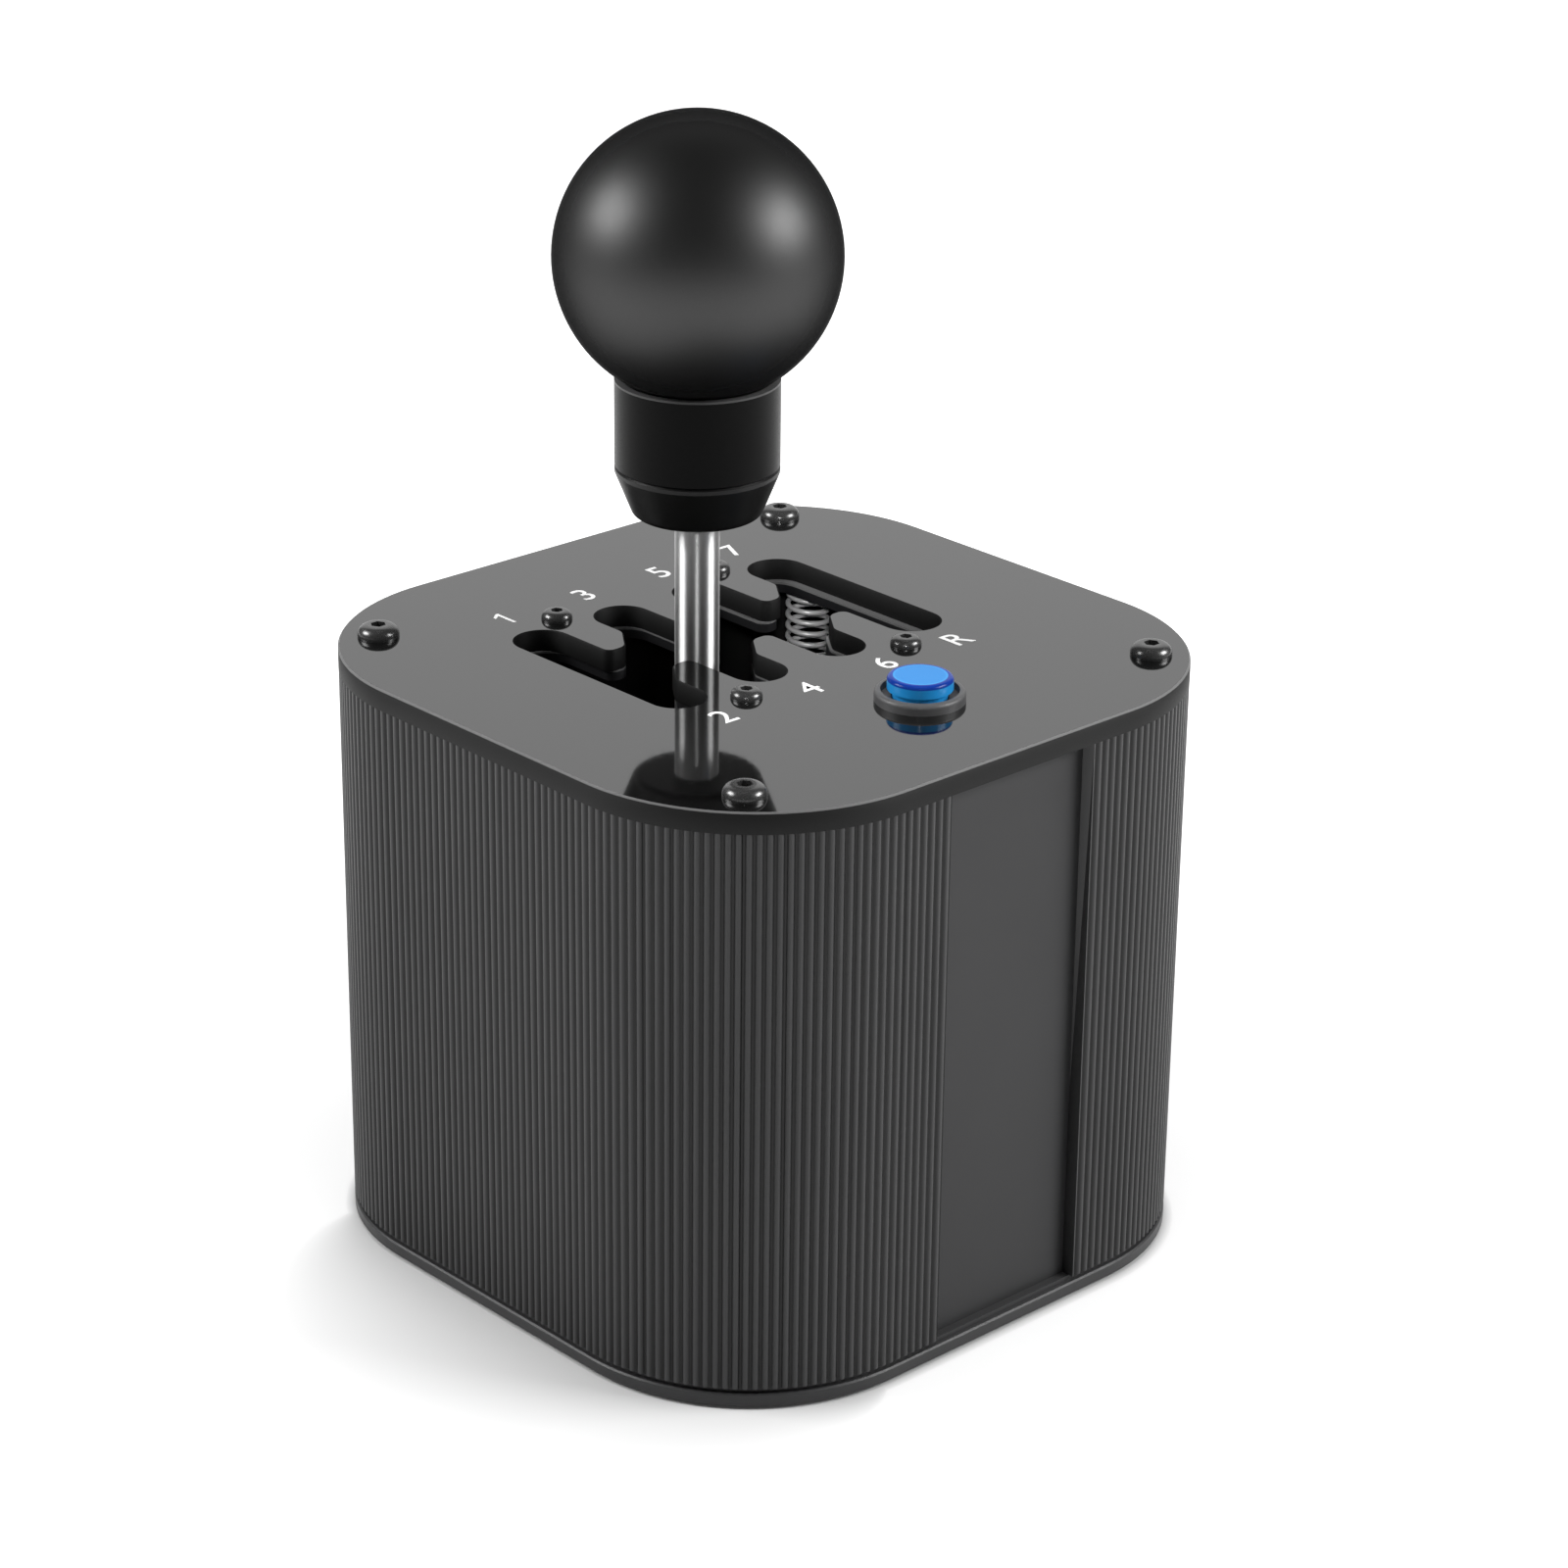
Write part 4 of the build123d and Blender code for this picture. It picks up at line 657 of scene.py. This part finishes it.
# Painted shade: the walls of the slots and holes near the middle are darker than the outer sides.
slot_shade_colour = (0.003, 0.003, 0.003)
slot_shade_reach = 55 * mm
side_grain = {"size": 0.25 * mm, "depth": 0.006 * mm, "rough": (0.5, 0.62)}
side_gloss_level = 0.2
cut_grain = {"size": 0.25 * mm, "depth": 0.006 * mm, "rough": (0.55, 0.68)}
cut_gloss_level = 0.15
plate_grain = {"size": 1.2 * mm, "depth": 0.0004 * mm, "rough": (0.03, 0.06)}
plate_light_bend = 1.74
plate_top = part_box("top_plate")[1].z
face_finish = new_finish("gloss_face", plate_colour, plate_grain, sockets={"IOR": plate_light_bend})
side_finish = new_finish("matt_side", plate_side_colour, side_grain, sockets={
    "Specular IOR Level": side_gloss_level,
})
side_tree = side_finish.node_tree
side_level = object_place(side_tree)["Z"]
# Painted highlight: a lighter band along the top of the plate's outer sides.
rim_highlight_low = plate_top - rim_highlight_height
rim_highlight = rise(side_tree, side_level, rim_highlight_low - plate_skin, rim_highlight_low)
paint(side_finish, mix_colours(side_tree, rim_highlight, plate_side_colour, painted_rim_highlight_colour))

slot_shade_finish = new_finish("slot_wall_shade", slot_shade_colour, cut_grain, sockets={"Specular IOR Level": cut_gloss_level})

plate_mesh = welded_copy("top_plate")
plate_mesh.materials.clear()
for finish in (side_finish, face_finish, slot_shade_finish):
    plate_mesh.materials.append(finish)
for face in plate_mesh.polygons:
    levels = [plate_mesh.vertices[corner].co.z for corner in face.vertices]
    if min(levels) > plate_top - plate_skin:
        face.material_index = 1
    # Walls near the middle take the painted shade of the slots.
    elif face.center.xy.length < slot_shade_reach:
        face.material_index = 2
lacquered_plate = place_new("lacquered_plate", plate_mesh)
smooth(lacquered_plate)
for face in plate_mesh.polygons:
    face.use_smooth = abs(face.normal.z) < flat_share
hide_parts("top_plate")
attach(lacquered_plate, "housing")

digit_colour = (0.85, 0.85, 0.85)
digit_height = 5.4 * mm
digit_thickness = 0.04 * mm
digit_weight_share = 0.004
digit_grain = {"size": 0.15 * mm, "depth": 0.004 * mm, "rough": (0.48, 0.62)}
far_digit_y = 40.8 * mm
near_digit_y = -20.8 * mm
far_digits = {"1": -26.9 * mm, "3": -7.7 * mm, "5": 10.7 * mm, "7": 29.1 * mm}
near_digits = {"2": -28.5 * mm, "4": -8.3 * mm, "6": 10.1 * mm, "R": 28.2 * mm}
one_outline = [
    (0.0, 0.0), (0.12, 0.0), (0.12, 1.0), (0.03, 1.0), (-0.24, 0.78), (-0.24, 0.64), (0.0, 0.82),
]
digit_finish = new_finish("white_ink", digit_colour, digit_grain)


def digit_curve(letter):
    """The flat outline of a gear number: the one is drawn with its flag, the rest are plain type."""
    name = "digit_" + letter
    if letter == "1":
        drawn = bpy.data.curves.new(name, "CURVE")
        drawn.dimensions = "2D"
        drawn.fill_mode = "BOTH"
        line = drawn.splines.new("POLY")
        line.points.add(len(one_outline) - 1)
        for point, (across, up) in zip(line.points, one_outline):
            point.co = (across, up, 0, 1)
        line.use_cyclic_u = True
    else:
        drawn = bpy.data.curves.new(name, "FONT")
        drawn.body = letter
        drawn.offset = digit_weight_share
    drawn.extrude = digit_thickness / digit_height / 2
    return drawn


for digit_y, row in ((far_digit_y, far_digits), (near_digit_y, near_digits)):
    for letter, digit_x in row.items():
        guide = place_new("digit_guide", digit_curve(letter))
        mesh = bpy.data.meshes.new_from_object(guide)
        bpy.data.objects.remove(guide)
        corners = [vertex.co for vertex in mesh.vertices]
        lowest = Vector([min(corner[axis] for corner in corners) for axis in range(3)])
        highest = Vector([max(corner[axis] for corner in corners) for axis in range(3)])
        middle = (lowest + highest) / 2
        scale = digit_height / (highest.y - lowest.y)
        place = Vector((digit_x, digit_y, plate_top + digit_thickness / 4))
        mesh.transform(Matrix.Translation(place) @ Matrix.Scale(scale, 4) @ Matrix.Translation(-middle))
        mesh.materials.clear()
        mesh.materials.append(digit_finish)
        digit = place_new("digit_" + letter, mesh)
        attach(digit, "housing")

# Push button: a body turned from dark anodised aluminium, held by a nut under the plate.
# Its cap is clear blue plastic over a pale blue disc, so that it darkens round the rim, and the disc has a
# painted glow near its edge.
bezel_colour = (0.08, 0.08, 0.082)
bezel_grain = {"size": 0.2 * mm, "depth": 0.004 * mm, "rough": (0.4, 0.52)}
bezel_gloss_level = 0.5
bezel_finish = new_finish("turned_bezel", bezel_colour, bezel_grain, sockets={
    "Specular IOR Level": bezel_gloss_level,
})
dress(["button_body"], bezel_finish)

cap_disc_radius = 4.8 * mm
cap_painted_glow_width = 0.5 * mm
cap_ring_height = 0.75 * mm
cap_blur = 0.1 * mm
cap_grain = {"size": 0.5 * mm, "depth": 0.003 * mm, "rough": (0.16, 0.24)}
cap_gloss_level = 0.15
cap_colour = (0.01, 0.205, 0.56)
cap_painted_glow_colour = (0.02, 0.275, 0.66)
cap_ring_colour = (0.006, 0.035, 0.27)
cap_low, cap_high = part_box("button_cap")
cap_finish = new_finish("blue_cap", cap_colour, cap_grain, sockets={"Specular IOR Level": cap_gloss_level})
cap_tree = cap_finish.node_tree
cap_middle = ((cap_low.x + cap_high.x) / 2, (cap_low.y + cap_high.y) / 2, cap_high.z)
cap_parts = object_place(cap_tree, cap_middle)
cap_flat = add_node(cap_tree, "ShaderNodeCombineXYZ", {"X": cap_parts["X"], "Y": cap_parts["Y"]})
cap_reach = add_node(cap_tree, "ShaderNodeVectorMath", {
    0: cap_flat.outputs["Vector"],
}, operation="LENGTH").outputs["Value"]
# Painted glow: the disc is painted lighter in a narrow band just inside its edge.
cap_painted_glow = rise(cap_tree, cap_reach, cap_disc_radius - cap_painted_glow_width, cap_disc_radius - cap_blur)
cap_outside = rise(cap_tree, cap_reach, cap_disc_radius - cap_blur, cap_disc_radius + cap_blur)
cap_above = rise(cap_tree, cap_parts["Z"], -cap_ring_height - cap_blur, cap_blur - cap_ring_height)
cap_ring = figure(cap_tree, "MULTIPLY", cap_outside, cap_above)
cap_disc_colour = mix_colours(cap_tree, cap_painted_glow, cap_colour, cap_painted_glow_colour)
paint(cap_finish, mix_colours(cap_tree, cap_ring, cap_disc_colour, cap_ring_colour))
dress(["button_cap"], cap_finish)

# Lever: a steel rod, ground round and polished, screwed into the lever's foot. Its satin black knob
# is moulded over a threaded insert, on a turned collar with a cone nut under it. The knob has the
# shader of a dark metal, because its edges mirror less than a plastic's.
rod_colour = (0.72, 0.72, 0.72)
rod_grain = {"size": 0.15 * mm, "depth": 0.0004 * mm, "rough": (0.48, 0.56), "stretch": (30, 30, 1)}
rod_stretch_share = 1.0
rod_stretch_turn_share = 0.25
rod_finish = new_finish("polished_rod", rod_colour, rod_grain, metallic=1.0, sockets={
    "Anisotropic": rod_stretch_share, "Anisotropic Rotation": rod_stretch_turn_share,
})
rod_tree = rod_finish.node_tree
rod_normal = add_node(rod_tree, "ShaderNodeNewGeometry").outputs["Normal"]
rod_around = add_node(rod_tree, "ShaderNodeVectorMath", {
    0: rod_normal, 1: (0, 0, 1),
}, operation="CROSS_PRODUCT")
rod_tree.links.new(rod_around.outputs["Vector"], rod_tree.nodes["Principled BSDF"].inputs["Tangent"])
dress(["lever_rod"], rod_finish)

collar_colour = (0.003, 0.003, 0.003)
painted_collar_highlight_colour = (0.10, 0.10, 0.10)
collar_highlight_height = 0.35 * mm
collar_grain = {"size": 0.16 * mm, "depth": 0.004 * mm, "rough": (0.28, 0.4), "stretch": (6, 6, 1)}
collar_gloss_level = 0.06
collar_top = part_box("collar")[1].z
collar_blur = 0.05 * mm
collar_finish = new_finish("turned_collar", collar_colour, collar_grain, sockets={
    "Specular IOR Level": collar_gloss_level,
})
collar_tree = collar_finish.node_tree
collar_level = object_place(collar_tree)["Z"]
# Painted highlight: the top of the collar is painted lighter.
collar_highlight_low = collar_top - collar_highlight_height
collar_highlight = rise(collar_tree, collar_level, collar_highlight_low - collar_blur, collar_highlight_low)
paint(collar_finish, mix_colours(collar_tree, collar_highlight, collar_colour, painted_collar_highlight_colour))
dress(["collar"], collar_finish)

cone_colour = (0.004, 0.004, 0.004)
cone_grain = {"size": 0.2 * mm, "depth": 0.006 * mm, "rough": (0.36, 0.46)}
cone_gloss_level = 0.25
cone_finish = new_finish("cone_coat", cone_colour, cone_grain, sockets={
    "Specular IOR Level": cone_gloss_level,
})
dress(["cone_nut"], cone_finish)

knob_colour = (0.062, 0.062, 0.062)
knob_edge_tint = (0.15, 0.15, 0.15)
knob_grain = {"size": 0.28 * mm, "depth": 0.008 * mm, "rough": (0.43, 0.5)}
knob_finish = new_finish("satin_knob", knob_colour, knob_grain, metallic=1.0, sockets={
    "Specular Tint": (*knob_edge_tint, 1.0),
})
dress(["knob"], knob_finish)

# Floor: a wide pale sheet that keeps the object's shadow, with a painted shadow round the base: its
# own glow is lowest at the base plate's edge and grows away from it, at once in front and slowly on the
# left.
floor_half = 3.0
floor_colour = (0.6, 0.6, 0.6)
contact_glow = 0.03
near_glow = 0.46
far_glow = 1.0
shadow_way = (-0.97, -0.24, 0)
shadow_edge_low = 0.62
narrow_shadow = 2 * mm
wide_shadow = 48 * mm
far_start = 100 * mm
far_end = 400 * mm
floor_mesh = bpy.data.meshes.new("floor")
floor_corners = [(-1, -1), (1, -1), (1, 1), (-1, 1)]
floor_mesh.from_pydata([(floor_half * x, floor_half * y, 0) for x, y in floor_corners], [], [range(4)])
floor = place_new("floor", floor_mesh)
floor_finish = bpy.data.materials.new("white_floor")
floor_finish.use_nodes = True
floor_tree = floor_finish.node_tree
floor_tree.nodes.clear()
floor_parts = object_place(floor_tree)
straight_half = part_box("base_plate")[1].x - housing_corner
past_straight = []
for axis in ("X", "Y"):
    off_middle = figure(floor_tree, "ABSOLUTE", floor_parts[axis])
    past = figure(floor_tree, "SUBTRACT", off_middle, straight_half)
    past_straight.append(figure(floor_tree, "MAXIMUM", past, 0.0))
past_both = add_node(floor_tree, "ShaderNodeCombineXYZ", dict(zip("XY", past_straight)))
from_corner = add_node(floor_tree, "ShaderNodeVectorMath", {0: past_both.outputs[0]}, operation="LENGTH")
off_base = figure(floor_tree, "SUBTRACT", from_corner.outputs["Value"], housing_corner)
floor_spot = add_node(floor_tree, "ShaderNodeCombineXYZ", {"X": floor_parts["X"], "Y": floor_parts["Y"]})
floor_reach = add_node(floor_tree, "ShaderNodeVectorMath", {0: floor_spot.outputs[0]}, operation="LENGTH")
floor_way = add_node(floor_tree, "ShaderNodeVectorMath", {0: floor_spot.outputs[0]}, operation="NORMALIZE")
toward_shadow = add_node(floor_tree, "ShaderNodeVectorMath", {
    0: floor_way.outputs[0], 1: shadow_way,
}, operation="DOT_PRODUCT")
# Painted shadow: the glow stays low near the base, across a width that is greatest toward the left.
shadow_share = rise(floor_tree, toward_shadow.outputs["Value"], shadow_edge_low, 1.0)
painted_shadow_width = figure(floor_tree, "MULTIPLY_ADD", shadow_share, wide_shadow - narrow_shadow, narrow_shadow)
off_painted_shadow = rise(floor_tree, figure(floor_tree, "DIVIDE", off_base, painted_shadow_width), 0.0, 1.0)
painted_shadow_glow = figure(floor_tree, "MULTIPLY_ADD", off_painted_shadow, near_glow - contact_glow, contact_glow)
far_share = rise(floor_tree, floor_reach.outputs["Value"], far_start, far_end)
to_far_glow = figure(floor_tree, "SUBTRACT", far_glow, painted_shadow_glow)
floor_glow = figure(floor_tree, "MULTIPLY_ADD", far_share, to_far_glow, painted_shadow_glow)
floor_matt = add_node(floor_tree, "ShaderNodeBsdfDiffuse", {"Color": (*floor_colour, 1)})
floor_light = add_node(floor_tree, "ShaderNodeEmission", {"Strength": floor_glow})
floor_lit = add_node(floor_tree, "ShaderNodeAddShader", {
    0: floor_matt.outputs[0], 1: floor_light.outputs[0],
})
ray = add_node(floor_tree, "ShaderNodeLightPath").outputs
seen = figure(floor_tree, "MAXIMUM", ray["Is Camera Ray"], ray["Is Glossy Ray"])
seen = figure(floor_tree, "MAXIMUM", seen, ray["Is Transmission Ray"])
floor_mixed = add_node(floor_tree, "ShaderNodeMixShader", {
    0: seen, 1: floor_matt.outputs[0], 2: floor_lit.outputs[0],
})
add_node(floor_tree, "ShaderNodeOutputMaterial", {"Surface": floor_mixed.outputs[0]})
floor.data.materials.append(floor_finish)

# Spring lamp: a narrow spot from the camera's side, aimed through the gate at the right spring,
# which the plate shades from the soft lamps.
spring_lamp_target = Vector((38.0, 29.0, 101.0)) * mm
spring_lamp_distance = 0.9
spring_lamp_power = 14.0
spring_lamp_cone = math.radians(3.2)
spring_lamp_size = 20 * mm
spring_lamp_soft_share = 0.6
spring_lamp_data = bpy.data.lights.new("lamp_spring", "SPOT")
spring_lamp_data.energy = spring_lamp_power
spring_lamp_data.spot_size = spring_lamp_cone
spring_lamp_data.spot_blend = spring_lamp_soft_share
spring_lamp_data.shadow_soft_size = spring_lamp_size
spring_lamp = place_new("lamp_spring", spring_lamp_data)
spring_lamp.location = spring_lamp_target + camera_back * spring_lamp_distance
spring_lamp.rotation_euler = camera_back.to_track_quat("Z", "Y").to_euler()

# Room: white behind the object for the camera and for what gloss and clear pieces mirror, and dim
# in front of it and above.
room_front = 0.09
room_back = 1.0
back_outer_angle = math.radians(42)
back_inner_angle = math.radians(22)
world = bpy.data.worlds.new("studio")
world.use_nodes = True
bpy.context.scene.world = world
world_tree = world.node_tree
world_tree.nodes.clear()
direction = add_node(world_tree, "ShaderNodeTexCoord").outputs["Generated"]
mirror_way = (-camera_back.x, -camera_back.y, camera_back.z)
toward_back = add_node(world_tree, "ShaderNodeVectorMath", {
    0: direction, 1: mirror_way,
}, operation="DOT_PRODUCT")
at_back = add_node(world_tree, "ShaderNodeMapRange", {
    "Value": toward_back.outputs["Value"],
    "From Min": math.cos(back_outer_angle), "From Max": math.cos(back_inner_angle),
}, interpolation_type="SMOOTHSTEP").outputs["Result"]
room_level = figure(world_tree, "MULTIPLY_ADD", at_back, room_back - room_front, room_front)
room_light = add_node(world_tree, "ShaderNodeBackground", {"Strength": room_level})
white_light = add_node(world_tree, "ShaderNodeBackground", {"Strength": 1.0, "Color": (1, 1, 1, 1)})
ray = add_node(world_tree, "ShaderNodeLightPath").outputs
mirrored = figure(world_tree, "MAXIMUM", ray["Is Glossy Ray"], ray["Is Transmission Ray"])
mirrored_back = figure(world_tree, "MULTIPLY", mirrored, at_back)
seen = figure(world_tree, "MAXIMUM", ray["Is Camera Ray"], mirrored_back)
world_mixed = add_node(world_tree, "ShaderNodeMixShader", {
    0: seen, 1: room_light.outputs[0], 2: white_light.outputs[0],
})
add_node(world_tree, "ShaderNodeOutputWorld", {"Surface": world_mixed.outputs[0]})

# Soft lamps: one on each side, whose reflections are the knob's two highlights, and a weaker one
# overhead that gloss doesn't mirror. The picture's colours are shown plainly, without a film curve.
lamp_distance = 0.9
lamp_width = 0.42
lamp_height = 0.32
left_lamp_way = (-0.649, 0.543, 0.55)
left_lamp_power = 6.5
right_lamp_way = (0.56, -0.68, 0.52)
right_lamp_power = 7.5
top_lamp_way = (-0.1, -0.1, 1.0)
top_lamp_power = 4.0


def soft_lamp(name, way, power, mirrored=True):
    """A soft lamp along a direction, turned to the object."""
    lamp_data = bpy.data.lights.new(name, "AREA")
    lamp_data.shape = "RECTANGLE"
    lamp_data.size = lamp_width
    lamp_data.size_y = lamp_height
    lamp_data.energy = power
    lamp = place_new(name, lamp_data)
    aim = Vector(way).normalized()
    lamp.location = camera_target + aim * lamp_distance
    lamp.rotation_euler = aim.to_track_quat("Z", "Y").to_euler()
    lamp.visible_glossy = mirrored


soft_lamp("lamp_left", left_lamp_way, left_lamp_power)
soft_lamp("lamp_right", right_lamp_way, right_lamp_power)
soft_lamp("lamp_top", top_lamp_way, top_lamp_power, mirrored=False)

bpy.context.scene.view_settings.view_transform = "Standard"
